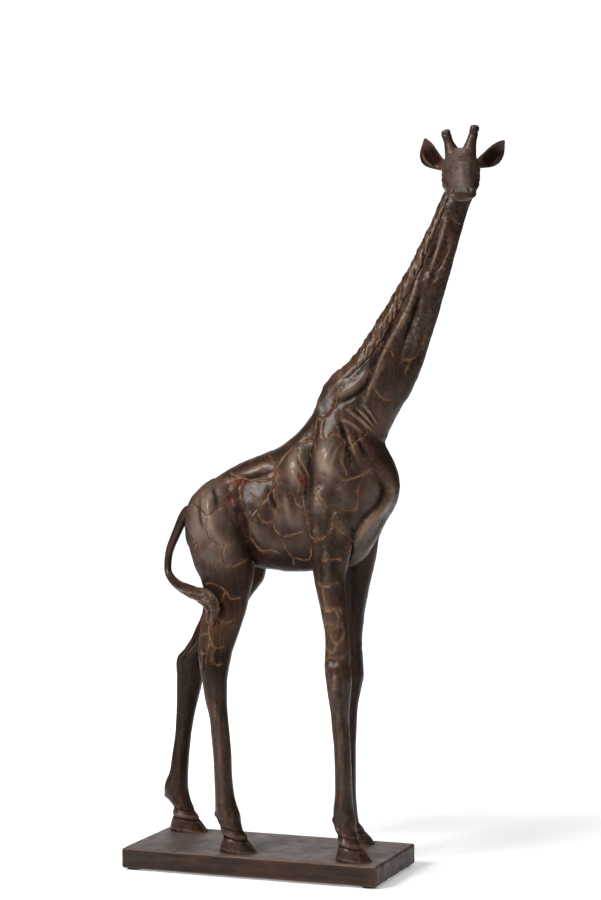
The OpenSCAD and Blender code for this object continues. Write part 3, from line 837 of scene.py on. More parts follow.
def carve_hoof(skin, mine, x, y, deep):
    """The coronet above a hoof, its rim, the cleft in front and the hollow of the heel."""
    height, front = skin.co[:, 2], skin.normals[:, 0]
    level = height + 2.5 * (skin.co[:, 0] - x) / deep
    band = hump(level - 20, 3.2) * 1.1 - hump(level - 15.5, 1.4) * 0.7
    band += hump(level - 26.5, 1.6) * -0.5 + hump(level - 2, 2) * 0.5
    across = skin.co[:, 1] - y
    cleft = hump(across, 1.5) * smoothstep(0.25, 0.6, front) * smoothstep(19, 14, height)
    heel = hump(across, 2.2) * smoothstep(-0.3, -0.7, front) * smoothstep(34, 26, height)
    skin.rise += mine * (band * smoothstep(60, 40, height) - 2.6 * cleft - 1.4 * heel)


def shade_and_grain_leg(skin, beside, mine, side):
    """Painted shade on the face that looks inwards, and warm grain high on the outer face."""
    height, outward = skin.co[:, 2], side * skin.normals[:, 1]
    inner_face = smoothstep(0.1, 0.6, -outward) * smoothstep(40, 90, height)
    # Painted shade on the faces that look towards the other leg
    skin.mark("painted_shade", inner_face * beside * smoothstep(370, 310, height) * 0.6)
    outer_face = smoothstep(0.1, 0.6, outward) * smoothstep(222, 240, height)
    skin.mark("hair", outer_face * mine * smoothstep(300, 270, height) * 0.4)


def partial_stroke(skin, own, path, width, amount):
    """A stroke of (x, height) laid only on the points listed."""
    which, off, along = path_distance(skin.co[own][:, [0, 2]], smooth_rows(path, 3), width * 2.5)
    skin.rise[own[which]] += hump(off, width) * fade_ends(along, 0.2, 0.1) * amount


def carve_bones(skin, mine, side, rows, details):
    """Tendons, joints and fetlocks on both faces of a leg, shallower on the inner one."""
    for way in (side, -side):
        depth = 1.0 if way == side else 0.7
        own = np.flatnonzero(mine & (way * skin.normals[:, 1] > 0.05))
        for offset, high, low, width, amount in TENDONS:
            path = [(offset, level) for level in np.linspace(high, low, 6)]
            partial_stroke(skin, own, on_leg(rows, path), width, amount * depth)
        for *path, width, amount in details:
            partial_stroke(skin, own, on_leg(rows, path), width, amount * depth)


def carve_legs(skin):
    """Every leg in turn, inside a box round it that ends below the body."""
    for side, foreleg, hind_leg in FLANKS:
        for rows, details in ((foreleg, FORELEG_DETAILS), (hind_leg, HIND_LEG_DETAILS)):
            x, y, deep, wide = at_heights(rows, skin.co[:, 2], (1, 2, 3, 4))
            beside = (np.abs(skin.co[:, 0] - x) < deep + 6) & (np.abs(skin.co[:, 1] - y) < wide + 6)
            mine = beside & (skin.co[:, 2] < 300)
            carve_hoof(skin, mine, x, y, deep)
            shade_and_grain_leg(skin, beside, mine, side)
            carve_bones(skin, mine, side, rows, details)


def carve_by_hand(skin):
    """The uneven surface a gouge and rasp leave, drawn out along the limbs."""
    legs = smoothstep(330, 290, skin.co[:, 2])
    tall = noise(skin.co * [1, 1, 0.16], 4.5, 2) * 0.36 * legs
    lumps = noise(skin.co, 17.0, 0) * 0.35 + noise(skin.co * [1, 1, 0.55], 7.0, 1) * 0.42
    small = noise(skin.co, 3.2, 3) * 0.18 * (1 - 0.8 * legs)
    skin.rise += lumps * (1 - 0.75 * legs) + tall + small


def fetlock_lofts():
    """The two small spurs behind each fetlock."""
    parts = []
    for rows in LEGS:
        level = 45 if rows[0][1] > 0 else 42
        x, y, deep = at_heights(rows, level, (1, 2, 3))
        parts += [ball((x - deep + 2.4, y + side * 4.4, level), 3.9, 16) for side in (-1, 1)]
    return parts


def carve_animal():
    """Everything from the hooves to the neck. The skull is in it so that the neck flows into the head."""
    parts = [leg_loft(rows) for rows in LEGS] + [leaning_loft(TORSO, 2.15), leaning_loft(NECK)]
    skin = Skin("animal", parts + fetlock_lofts() + head_lofts()[:1], BODY_VOXEL)
    skin.smooth(10)
    carve_muscles(skin)
    skin.settle()
    skin.smooth(2)
    carve_legs(skin)
    carve_mane(skin)
    carve_patches(skin)
    carve_by_hand(skin)
    skin.settle()
    skin.find_wear_and_shade(4, 20)
    return skin


# ---------------------------------------------------------------- carving the head and tail

# Strokes on the face, in the head's frame with y outwards, made on both sides: (path, width, height)
FACE_STROKES = [
    ([(5.5, 19, 4), (8, 20.5, 9), (13, 21.5, 11.5), (18.5, 20.5, 9.5), (22, 18.5, 4.5)], 1.7, 1.1),
    ([(7, 20, 2.5), (11, 21.5, -1.2), (16, 21, -1), (21, 19, 2.5)], 1.5, 0.8),
    ([(4, 19, 8), (8, 20, 13), (14, 20.5, 15), (20, 19.5, 12)], 1.3, -0.8),
    ([(6, 20, -3), (12, 21, -5.5), (19, 20, -3.5)], 1.3, -0.8),
    ([(0, 18, 16), (9, 20, 20), (20, 18.5, 15.5)], 4.0, 1.2),
    ([(22, 19, -3), (34, 17.5, -5), (48, 15.5, -6)], 2.8, 0.8),
    ([(28, 18.5, 4), (40, 16.5, 2), (52, 15.5, 0)], 3.6, -1.5),
    ([(26, 18, -11), (36, 16.5, -12), (46, 15, -12)], 3.2, -1.1),
    ([(4, 18, -14), (18, 19.5, -17), (34, 15.5, -17)], 4.5, 1.3),
    ([(66, 7.5, 3.4), (70, 9.6, 0.4), (71, 12, -2.6)], 1.2, -1.4),
    ([(66, 5, 4.4), (71, 5.6, 1.4), (75, 8, -2.4)], 1.8, 0.3),
    ([(62, 10, 4.4), (67, 13, 1.4), (68, 15, -1)], 1.8, 0.25),
    ([(50, 15, -6.6), (60, 15.8, -6.8), (68, 15, -7), (74, 11, -6.8), (77.5, 5, -5.8)], 1.0, -1.0),
    ([(52, 15.2, -9.6), (62, 15, -9.4), (70, 12.6, -9)], 1.8, 0.5),
    ([(46, 15.6, -1), (56, 15.4, -2.6), (66, 15, -3.4)], 1.6, 0.9),
    ([(12, 12, 24), (24, 11, 17), (38, 9.5, 11.5)], 3, 0.5),
    ([(16, 16, 18), (28, 14.5, 12.5), (40, 13, 8.5)], 3, -0.4),
    ([(-6, 16, 17), (-2, 18.5, 14), (2, 19.5, 9)], 1.5, -1.0),
    ([(0, 16.5, 20), (3, 18.5, 16.5), (5, 19.5, 12)], 1.3, -0.8),
    ([(-10, 14.5, 12), (-8, 17, 6), (-6, 18, 0)], 1.6, -0.9),
]
# Folds inside the right ear: share of the way to the lower edge, width, height
EAR_STROKES = [(0.62, 1.4, 1.2), (0.28, 2.0, -1.0), (-0.3, 1.8, -0.6), (0.84, 1.0, 0.4)]
# Folds beside the mouth and along the right cheek, with pale painted highlights along them
MUZZLE_FOLDS = [
    [(24, -19, -1), (34, -17.6, -3), (46, -15.8, -4)], [(42, -16, 1), (54, -15.6, -2.5), (66, -14.8, -5)],
    [(50, -15.4, -9), (60, -15.4, -9), (69, -13.5, -8.6)], [(36, -17, -8), (48, -15.8, -9), (58, -15.4, -10)],
    [(60, 14, 3), (68, 11, 1), (74, 7, -4)], [(62, 15.4, -4), (70, 13, -5.2), (76, 7, -5)],
    [(40, 16, 3), (50, 15.6, 0), (60, 15.8, -2)],
]
# Faint patch lines of the forehead and cheeks
FACE_LINES = [
    [(4, -9, 31), (11, -5, 27), (17, -8, 22), (24, -4, 18.5)],
    [(11, -5, 27), (13, 4, 26), (20, 8, 20.5)],
    [(13, 4, 26), (8, 12, 27)],
    [(17, -8, 22), (20, -15, 15)],
    [(24, -4, 18.5), (34, -6, 14), (42, -2, 10.5)],
    [(24, -4, 18.5), (28, 5, 16), (36, 8, 12)],
    [(30, 17, 3), (36, 15, 8), (36, 8, 12)],
    [(30, -17.5, 2), (36, -14, 8), (34, -6, 14)],
    [(24, 19.5, -8), (32, 18, -10), (34, 16, -15)],
    [(24, -19.5, -8), (32, -18, -10), (34, -16, -15)],
]
# Loose ends of the tail's tuft, as swept tubes
WISPS = [
    [(-68, -50, 299, 3.2), (-58, -54, 298, 3.4), (-49, -56.5, 294, 3.2), (-42, -57, 287, 2.6),
     (-40, -56, 279, 1.8), (-42, -54.5, 272, 0.7)],
    [(-66, -50, 288, 3.4), (-59, -54, 285, 3.2), (-54, -55.5, 279, 2.6), (-54, -54.5, 272, 1.8),
     (-56, -53, 266, 0.7)],
]


def carve_features(skin):
    """Eyes, cheeks, mouth and nostrils on both sides, the ridge of the nose and the brow."""
    for side in (-1, 1):
        for path, width, height in FACE_STROKES:
            skin.stroke(from_head(np.array(path, float) * [1, side, 1]), width, height)
        skin.bulge(from_head((26, side * 17, -9)), 13, 1.4)
        skin.bulge(from_head((66, side * 11, 0)), 9, 0.2)
    skin.stroke(from_head([(18, 0, 20.5), (34, 0, 13.5), (50, 0, 8), (62, 0, 5.5)]), 4.5, 1.0)
    skin.stroke(from_head([(73, 0, 2), (77, 0, -1), (78, 0, -5)]), 1.0, -0.6)
    skin.bulge(from_head([8, 0, 26]), 13, 1.2)
    # Pale painted highlights along the folds of the muzzle and cheek
    for path in MUZZLE_FOLDS:
        skin.stroke(from_head(path), 1.2, 0.8, mark="wear_and_highlight", taper=0.2)
    for path in FACE_LINES:
        skin.stroke(from_head(path), 1.0, -0.5, mark="line", taper=0.2)


def carve_ears(skin):
    """Folds inside both ears; in the right one the ridges carry a painted highlight and the grooves painted
    shade, and the left one is softer and left unmarked.
    """
    for side in (-1, 1):
        for w, width, height in EAR_STROKES:
            path = from_head([ear_point(side, t, w) for t in (0.16, 0.34, 0.52, 0.72)])
            # Right ear: ridges get a painted highlight, grooves painted shade
            if side < 0:
                skin.stroke(path, width, height, mark="wear_and_highlight" if height > 1 else "painted_shade", taper=0.3)
            else:
                skin.stroke(path, width * 1.3, height * 0.5, taper=0.3)


def roughen_head(skin, local):
    """Lumps all over, and up the horns a bark-like grain with a groove under each knob."""
    up = smoothstep(24, 34, local[:, 2]) * (np.abs(local[:, 1]) < 24)
    knobs = smoothstep(44, 48, local[:, 2])
    bark = noise(local * [1, 1, 0.2], 2.2, 1) * 0.28 + noise(local, 1.6, 2) * 0.16 * knobs
    skin.rise += up * bark + noise(local, 7.0, 0) * 0.3 + noise(local, 2.6, 3) * 0.1
    skin.rise -= hump(local[:, 2] - 46, 1.4) * up * 0.6


def colour_brow(skin, local):
    """A matte brow and bridge of the nose, with a little painted shade and a slightly pale painted highlight.
    """
    matte = smoothstep(-4, 6, local[:, 0]) * smoothstep(74, 60, local[:, 0]) * smoothstep(0, 7, local[:, 2])
    matte *= np.abs(local[:, 1]) < 24
    # A little painted shade that also dulls the gloss, and a pale painted highlight
    skin.mark("painted_shade", matte * 0.15)
    skin.mark("painted_sheen", matte * 0.3)


def colour_ear(skin, local, side):
    """Painted shade inside the cup of an ear, and red-brown round its root."""
    root, out, across, face, length = ear_directions(side)
    away = local - root - across * 4
    reach = away @ out
    cup = smoothstep(6, 12, reach) * smoothstep(length - 4, length - 18, reach)
    cup *= smoothstep(0.2, 0.8, skin.normals @ (face @ HEAD_AXES))
    cup *= smoothstep(9.5, 4.5, np.abs(away @ across)) * (np.abs(away @ face) < 9)
    cup *= 1 - 0.85 * skin.marks["wear_and_highlight"]
    # Painted shade inside the ear's cup
    skin.mark("painted_shade", cup)
    skin.mark("red", cup * 0.08)
    skin.mark("red", hump(off_oval(local, [-2, side * 18, 12], 7)) * 0.8)


def carve_head():
    """The head with the top of the neck, whose muscles run on into it."""
    skin = Skin("head", [leaning_loft(NECK[4:])] + head_lofts(), HEAD_VOXEL)
    skin.smooth(7)
    for side in (NEAR, FAR):
        for path, width, height in MUSCLES:
            if max(point[1] for point in path) > 700:
                skin.stroke(path, width, height * RELIEF, side, taper=0.3)
    carve_mane(skin)
    carve_features(skin)
    carve_ears(skin)
    local = to_head(skin.co)
    roughen_head(skin, local)
    colour_brow(skin, local)
    for side in (-1, 1):
        colour_ear(skin, local, side)
    skin.settle()
    skin.find_wear_and_shade(8, 30, 0.7)
    return skin


def carve_tail():
    """The tail, with its tuft combed into strands that end in loose wisps."""
    skin = Skin("tail", [swept_tube(TAIL)] + [swept_tube(path, 14) for path in WISPS], HEAD_VOXEL)
    skin.smooth(3)
    spine = smooth_rows([row[:3] for row in TAIL])
    which, off, along = path_distance(skin.co, spine, 30)
    tuft = smoothstep(0.56, 0.76, along)
    outward = skin.normals[which]
    turn = np.arctan2(outward[:, 2], outward[:, 1])
    strands = np.cos(turn * 5 + along * 16 + noise(skin.co[which], 9.0, 1) * 2.0)
    fine = np.cos(turn * 13 - along * 14 + noise(skin.co[which], 6.0, 2) * 3)
    skin.rise[which] += tuft * (strands * 0.6 + fine * 0.25)
    skin.rise += noise(skin.co, 6.0, 0) * 0.15
    skin.mark("hair", tuft * 0.45, which)
    skin.settle()
    skin.find_wear_and_shade(5, 14)
    return skin


# ---------------------------------------------------------------- pieces: a skin cut where the blocks meet

# Planes as (point, the direction in which the piece lies)
LEG_TOP = (np.array([0, 0, SEAM - 5]), -Z)
LEG_FOOT = (np.array([0, 0, -0.6]), Z)
NECK_FOOT = (np.array([70.5, 0, 537.5]), np.array([0.458, 0, 0.889]))
NAPE = (np.array([232, 0, 756]), unit(np.array([0.40, -0.35, 0.85])))
EAR_CUT = 22
HORN_CUT = 33
HORN_PLANE = (from_head([0, 0, HORN_CUT]), Z @ HEAD_AXES)
# Midway between the fore and hind legs
MIDDLE_X = 30
# How far past a cut the points are kept, so that the cut goes through whole faces
MARGIN = 3
MOST_TRIANGLES = 190_000


def flipped(plane):
    return plane[0], -plane[1]


def ear_plane(side):
    return from_head([0, side * EAR_CUT, 0]), side * Y @ HEAD_AXES


def near_ear(local, side, reach):
    """Which points of the head lie towards one ear, at least so far out."""
    return (local[:, 0] < 6) & (local[:, 2] > -4) & (side * local[:, 1] > reach)


def near_horns(local, reach):
    """Which points of the head lie towards the horns, at least so far up."""
    return (local[:, 2] > reach) & (np.abs(local[:, 1]) < 26)


def store_marks(mesh, marks):
    """Saves marks where the materials read them, and smooths the shading."""
    for mark, values in marks.items():
        mesh.attributes.new(mark, "FLOAT", "POINT").data.foreach_set("value", values.astype(np.float32))
    mesh.polygons.foreach_set("use_smooth", [True] * len(mesh.polygons))


def cut_and_close(bm, geometry, plane, **clear):
    """Cuts along a plane in millimetres and closes the cut with a flat, sharp-edged face."""
    point, normal = plane
    bmesh.ops.bisect_plane(bm, geom=geometry, dist=1e-6, plane_co=to_metres(point), plane_no=normal, **clear)
    rim = [edge for edge in bm.edges if edge.is_boundary]
    for face in bmesh.ops.holes_fill(bm, edges=rim, sides=0)["faces"]:
        face.smooth = False
    for edge in rim:
        edge.smooth = False


def piece_from(name, mesh, slot, *nodes):
    obj = new_object("carved_" + name, mesh)
    obj.data.materials.append(SLOT_MATERIALS[slot])
    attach(obj, "root")
    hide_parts(*nodes)
    return obj


def slim(obj):
    """Collapses edges where the surface is flattest, until the piece has no more than MOST_TRIANGLES
    triangles.
    """
    count = sum(len(face.vertices) - 2 for face in obj.data.polygons)
    if count > MOST_TRIANGLES:
        thin = obj.modifiers.new("thin", "DECIMATE")
        thin.ratio = MOST_TRIANGLES / count
        bake(obj, thin)


def cut_piece(name, skin, planes=(), region=True):
    """The closed part of a skin that lies on the positive side of every plane, within a region."""
    keep = np.full(len(skin.co), True) & region
    for point, normal in planes:
        keep &= (skin.co - point) @ normal > -MARGIN
    faces = skin.quads[keep[skin.quads].all(axis=1)]
    used = np.unique(faces)
    renumber = np.zeros(len(skin.co), int)
    renumber[used] = np.arange(len(used))
    mesh = mesh_from(name, to_metres(skin.co[used]), renumber[faces].tolist())
    store_marks(mesh, {mark: values[used] for mark, values in skin.marks.items()})
    with edited(mesh) as bm:
        for plane in planes:
            cut_and_close(bm, bm.verts[:] + bm.edges[:] + bm.faces[:], plane, clear_inner=True)
    piece = piece_from(name, mesh, "carved_wood", name)
    slim(piece)
    return piece


def cut_body(skin):
    """Four legs under the seam, the torso over it, and the neck up to the nape."""
    x, y = skin.co[:, 0], skin.co[:, 1]
    for fore, end in ((1, "front"), (-1, "hind")):
        for left, word in ((-1, "right"), (1, "left")):
            quarter = (fore * (x - MIDDLE_X) > 0) & (left * y > 0)
            cut_piece(f"leg_{end}_{word}", skin, [LEG_TOP, LEG_FOOT], quarter)
    cut_piece("torso", skin, [flipped(LEG_TOP), flipped(NECK_FOOT)])
    cut_piece("neck", skin, [NECK_FOOT, flipped(NAPE)])


def trim(bm, plane, choose, *limits):
    """Cuts off what lies beyond a plane, among the points of the head that are chosen."""
    local = to_head((np.array([v.co for v in bm.verts]) - LIFT) / MM)
    chosen = {v for v, is_near in zip(bm.verts, choose(local, *limits)) if is_near}
    faces = [f for f in bm.faces if chosen.issuperset(f.verts)]
    edges = {e for f in faces for e in f.edges}
    verts = {v for f in faces for v in f.verts}
    cut_and_close(bm, [*verts, *edges, *faces], plane, clear_outer=True)


def cut_head(skin):
    """The head is what is left when the ears and horns are cut off."""
    local = to_head(skin.co)
    for side, word in ((1, "left"), (-1, "right")):
        cut_piece("ear_" + word, skin, [ear_plane(side)], near_ear(local, side, EAR_CUT - MARGIN))
        horn = near_horns(local, HORN_CUT - MARGIN) & (side * local[:, 1] > 0)
        cut_piece("ossicone_" + word, skin, [HORN_PLANE], horn)
    skull = cut_piece("head", skin, [NAPE])
    with edited(skull.data) as bm:
        for side in (1, -1):
            trim(bm, ear_plane(side), near_ear, side, 12)
        trim(bm, HORN_PLANE, near_horns, 26)


# ---------------------------------------------------------------- the plinth

PLINTH_ROUND = 3.0
GRID = 2.2


def side_steps(half):
    """Positions along one edge of the plinth, close together where it rounds over."""
    flat = half - PLINTH_ROUND
    turn = half - PLINTH_ROUND * np.array([1, 0.72, 0.42, 0.2, 0.06])
    inner = np.linspace(-flat, flat, max(2, int(2 * flat / GRID)))
    return np.r_[-half, -turn[::-1], inner[1:-1], turn, half]


def plinth_grids(half):
    """Six grids over a box about the origin, as one (points, faces)."""
    parts = []
    for axis in range(3):
        u, v = (axis + 1) % 3, (axis + 2) % 3
        us, vs = side_steps(half[u]), side_steps(half[v])
        index = np.arange(len(us) * len(vs)).reshape(len(us), len(vs))
        quad = np.stack([index[:-1, :-1], index[1:, :-1], index[1:, 1:], index[:-1, 1:]], -1).reshape(-1, 4)
        for sign in (-1, 1):
            grid = np.zeros((len(us), len(vs), 3))
            grid[..., u] = us[:, None]
            grid[..., v] = vs[None, :]
            grid[..., axis] = sign * half[axis]
            parts.append((grid.reshape(-1, 3), (quad if sign > 0 else quad[:, ::-1]).tolist()))
    return gather(parts)


def rounding(points, half):
    """Directions out of a box's rounded skin, and the points inside it that they start from."""
    inside = np.clip(points, PLINTH_ROUND - half, half - PLINTH_ROUND)
    return unit(points - inside), inside


def hoof_shade(points):
    """Painted shadow on the plinth round the hooves."""
    shade = np.zeros(len(points))
    for rows in LEGS:
        # Painted shadow in a ring round each hoof
        _, x, y, deep, wide = rows[0]
        shade = np.maximum(shade, smoothstep(1.45, 0.95, off_oval(points[:, :2], [x, y], [deep, wide])))
    return shade * 0.8


def make_plinth():
    """A block with rounded, chipped and rubbed edges, and a top that is marked as such; the chips and the top
    round the hooves carry painted shade.
    """
    low, high = PLINTH_LOW / MM, PLINTH_HIGH / MM
    half, centre = (high - low) / 2, (high + low) / 2
    square, faces = plinth_grids(half)
    outward, inside = rounding(square, half)
    points = inside + outward * PLINTH_ROUND + centre
    top = smoothstep(half[2] - 0.6, half[2], square[:, 2])
    edge = np.sort(half - np.abs(square), axis=1)[:, 1]
    chips = smoothstep(0.25, 0.75, noise(points, 9.0, 1)) * hump(edge, 3.0)
    waves = (noise(points * [0.35, 1, 1], 12.0, 0) + 1) * 0.14
    sink = chips * 0.7 + waves + (noise(points, 3.5, 2) + 1) * 0.06
    points -= rounding(points - centre, half)[0] * sink[:, None]
    mesh = mesh_from("plinth", points * MM, faces)
    # Painted shade in the chips and painted shadow round the hooves; edges paled as wear and painted
    # highlight
    painted_shade = chips * 0.6 + hoof_shade(points) * top
    store_marks(mesh, {"top": top, "wear_and_highlight": hump(edge, 1.6) * 0.8, "painted_shade": painted_shade})
    with edited(mesh) as bm:
        bmesh.ops.remove_doubles(bm, verts=bm.verts, dist=2e-5)
    drill_plinth(piece_from("plinth", mesh, "plinth_wood", "plinth"))


def drill_plinth(plinth):
    """Counterbores in the underside, over the heads of the four screws."""
    clearance, below, depth = 0.0001, 0.004, 0.008
    cutters = []
    for word in ("front_left", "front_right", "hind_left", "hind_right"):
        low, high = (np.array(corner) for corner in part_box("screw_" + word))
        radius = (high[0] - low[0]) / 2 + clearance
        middle = [*(low[:2] + high[:2]) / 2, PLINTH_LOW[2]]
        rings = [oval(middle + Z * level, X, Y, radius, radius, 48) for level in (-below, depth)]
        cutters.append(loft(rings))
    cutter = new_object("cutter", mesh_from("cutter", *gather(cutters)))
    bore = plinth.modifiers.new("counterbores", "BOOLEAN")
    bore.operation = "DIFFERENCE"
    bore.object = cutter
    bore.solver = "EXACT"
    bake(plinth, bore)
    bpy.data.objects.remove(cutter)


# ---------------------------------------------------------------- materials

def rgb(code):
    """A colour written as on the screen, as linear RGBA."""
    parts = [int(code[i : i + 2], 16) / 255 for i in (1, 3, 5)]
    return (*[v / 12.92 if v < 0.04 else ((v + 0.055) / 1.055) ** 2.4 for v in parts], 1)


class Nodes:
    """A material's node tree, built by short calls that return output sockets."""

    def __init__(self, name):
        self.material = bpy.data.materials.new(name)
        self.material.use_nodes = True
        self.tree = self.material.node_tree
        self.shader = self.tree.nodes["Principled BSDF"]
        self.coords = self.tree.nodes.new("ShaderNodeTexCoord").outputs["Object"]

    def feed(self, socket, value):
        """Gives a socket a number or colour, or links another socket to it."""
        if isinstance(value, bpy.types.NodeSocket):
            self.tree.links.new(value, socket)
        else:
            socket.default_value = value

    def node(self, kind, **inputs):
        """A node of a kind, with its inputs given by name."""
        node = self.tree.nodes.new("ShaderNode" + kind)
        for name, value in inputs.items():
            self.feed(node.inputs[name], value)
        return node

    def noise(self, scale, detail=4.0, rough=0.55, stretch=(1, 1, 1), bend=0.0):
        """Fractal noise; stretch squeezes it along the axes, and bend warps it."""
        where = self.node("Mapping", Scale=stretch, Vector=self.coords).outputs[0]
        numbers = {"Scale": scale, "Detail": detail, "Roughness": rough, "Distortion": bend}
        return self.node("TexNoise", Vector=where, **numbers).outputs["Fac"]

    def mark(self, name):
        node = self.node("Attribute")
        node.attribute_name = name
        return node.outputs["Fac"]

    def spread(self, value, low, high, out_low=0.0, out_high=1.0):
        """Stretches the part of a value between low and high."""
        limits = {"From Min": low, "From Max": high, "To Min": out_low, "To Max": out_high}
        return self.node("MapRange", Value=value, **limits).outputs["Result"]

    def math(self, kind, a, b):
        node = self.node("Math")
        node.operation = kind
        self.feed(node.inputs[0], a)
        self.feed(node.inputs[1], b)
        return node.outputs[0]

    def times(self, a, b):
        return self.math("MULTIPLY", a, b)

    def mix(self, amount, a, b):
        node = self.node("Mix")
        node.data_type = "RGBA"
        self.feed(node.inputs[0], amount)
        self.feed(node.inputs[6], a)
        self.feed(node.inputs[7], b)
        return node.outputs[2]

    def cover(self, colour, layers):
        """Lays colours on another where a noise runs from low to high: (noise, low, high, most, code)."""
        for noise, low, high, most, code in layers:
            colour = self.mix(self.spread(noise, low, high, 0, most), colour, rgb(code))
        return colour

    def lay(self, colour, where, amount, code):
        """Lays one colour on another where a value says so."""
        return self.mix(self.times(where, amount), colour, rgb(code))

    def bump(self, height, strength, distance, **below):
        return self.node("Bump", Strength=strength, Distance=distance, Height=height, **below).outputs[0]

    def gloss(self, specular, coat, coat_roughness):
        self.feed(self.shader.inputs["Specular IOR Level"], specular)
        self.feed(self.shader.inputs["Coat Weight"], coat)
        self.feed(self.shader.inputs["Coat Roughness"], coat_roughness)

    def finish(self, colour, roughness, normal):
        self.feed(self.shader.inputs["Base Color"], colour)
        self.feed(self.shader.inputs["Roughness"], roughness)
        self.feed(self.shader.inputs["Normal"], normal)
        return self.material


def carved_wood():
    """Dark brown stain over carved wood, orange-brown in the lines, with wear and painted highlights on the
    high places and painted shade in the low ones.
    """
    n = Nodes("carved_wood")
    grain = n.noise(260, 5, 0.6, (1, 1, 0.09), 0.6)
    cloud = n.noise(24, 4, 0.6, (1, 1, 0.6), 0.4)
    patch = n.noise(55, 5, 0.65, (1, 1, 0.5), 1.0)
    mottle = n.noise(150, 5, 0.7, (1, 1, 0.6), 1.4)
    flecks = n.noise(520, 3, 0.7)
    chipped = n.noise(120, 3, 0.6, (1, 1, 1), 1.0)
    painted_sheen = n.times(n.mark("painted_sheen"), n.spread(cloud, 0.36, 0.6, 0.45, 1.0))
    wear_and_highlight = n.times(n.mark("wear_and_highlight"), n.spread(patch, 0.3, 0.6, 0.35, 1.0))
    painted_shade = n.mark("painted_shade")
    line = n.times(n.spread(n.mark("line"), 0.3, 0.95), n.spread(chipped, 0.36, 0.58, 0.3, 1.0))
    red = n.times(n.mark("red"), n.spread(flecks, 0.42, 0.6, 0.1, 1.0))
    hair = n.times(n.mark("hair"), n.spread(grain, 0.4, 0.7, 0.3, 1.0))
    tan = n.mix(n.spread(cloud, 0.4, 0.62), rgb("#865132"), rgb("#83684a"))
    colour = n.mix(n.spread(cloud, 0.35, 0.65), rgb("#150c07"), rgb("#281910"))
    colour = n.cover(colour, [
        (patch, 0.5, 0.7, 0.7, "#401e14"), (patch, 0.46, 0.32, 0.55, "#251f14"),
        (cloud, 0.52, 0.64, 0.5, "#3a2024"), (mottle, 0.52, 0.7, 0.5, "#473226"),
        (mottle, 0.46, 0.34, 0.6, "#170c07"), (grain, 0.44, 0.62, 0.35, "#452d1d"),
    ])
    # Painted highlight on the swellings, wear and painted highlight on edges and fold tops, painted shade in
    # hollows and low places
    colour = n.lay(colour, painted_sheen, 0.72, "#8e7b6d")
    colour = n.lay(colour, wear_and_highlight, 0.55, "#846b58")
    colour = n.lay(colour, painted_shade, 0.85, "#0e0705")
    colour = n.mix(n.times(line, 0.72), colour, tan)
    colour = n.lay(colour, red, 0.6, "#7c3424")
    colour = n.lay(colour, hair, 0.65, "#62432c")
    rough = n.spread(n.noise(90, 4, 0.6), 0.3, 0.7, 0.36, 0.54)
    rough = n.math("SUBTRACT", rough, n.times(n.math("ADD", wear_and_highlight, painted_sheen), 0.1))
    rough = n.math("ADD", rough, n.times(n.math("ADD", painted_shade, line), 0.15))
    n.gloss(n.spread(painted_shade, 0, 1, 0.2, 0.04), n.spread(painted_shade, 0, 0.8, 0.2, 0.02), 0.27)
    n.feed(n.shader.inputs["Specular Tint"], (1, 0.84, 0.7, 1))
    pores = n.bump(grain, 0.4, 0.0005)
    return n.finish(colour, rough, n.bump(mottle, 0.45, 0.0012, Normal=pores))


def plinth_wood():
    """The plinth's plainer stain: long grain, a top painted paler as if lit from above, edges rubbed brown as
    wear and painted highlight, and painted shade.
    """
    n = Nodes("plinth_wood")
    grain = n.noise(210, 6, 0.62, (0.07, 1, 1), 0.7)
    streak = n.noise(60, 4, 0.6, (0.12, 1, 1), 1.2)
    cloud = n.noise(14, 4, 0.6, (0.7, 1, 1), 0.5)
    waves = n.noise(48, 4, 0.6, (0.3, 1, 1), 0.6)
    # The top painted paler, as if lit from above
    pale_layer = n.times(n.mark("top"), n.spread(cloud, 0.3, 0.7, 0.3, 0.7))
    wear_and_highlight = n.times(n.mark("wear_and_highlight"), n.spread(streak, 0.35, 0.6, 0.1, 0.6))
    colour = n.mix(n.spread(streak, 0.36, 0.64), rgb("#1a0f0b"), rgb("#261611"))
    colour = n.cover(colour, [
        (cloud, 0.5, 0.68, 0.7, "#44291c"), (cloud, 0.47, 0.32, 0.6, "#312f26"),
        (grain, 0.45, 0.66, 0.5, "#453022"),
    ])
    colour = n.mix(pale_layer, colour, rgb("#74645f"))
    # Edges paled as wear and painted highlight
    colour = n.mix(wear_and_highlight, colour, rgb("#7d5c46"))
    # Painted shade in the chips and painted shadow round the hooves
    colour = n.lay(colour, n.mark("painted_shade"), 0.8, "#140e0b")
    rough = n.spread(n.noise(70, 4, 0.6), 0.3, 0.7, 0.36, 0.58)
    n.gloss(0.2, 0.04, 0.35)
    fine = n.bump(grain, 0.3, 0.0004)
    return n.finish(colour, rough, n.bump(waves, 0.25, 0.0012, Normal=fine))


def dowel_wood():
    n = Nodes("dowel_wood")
    grain = n.noise(420, 5, 0.6, (1, 1, 0.06), 0.4)
    pores = n.noise(900, 2, 0.5, (1, 1, 0.15))
    colour = n.mix(n.spread(grain, 0.35, 0.65), rgb("#c9a273"), rgb("#e0c094"))
    colour = n.cover(colour, [(pores, 0.62, 0.75, 0.6, "#8f6a42")])
    return n.finish(colour, n.spread(grain, 0.3, 0.7, 0.5, 0.7), n.bump(grain, 0.3, 0.0003))


def screw_steel():
    n = Nodes("screw_steel")
    brushed = n.noise(900, 4, 0.6, (1, 1, 0.3), 0.3)
    tarnish = n.noise(240, 4, 0.65)
    colour = n.cover(rgb("#b4b8bc"), [(tarnish, 0.4, 0.7, 0.7, "#8d8a80")])
    n.feed(n.shader.inputs["Metallic"], 1.0)
    return n.finish(colour, n.spread(brushed, 0.3, 0.7, 0.25, 0.48), n.bump(brushed, 0.15, 0.0001))


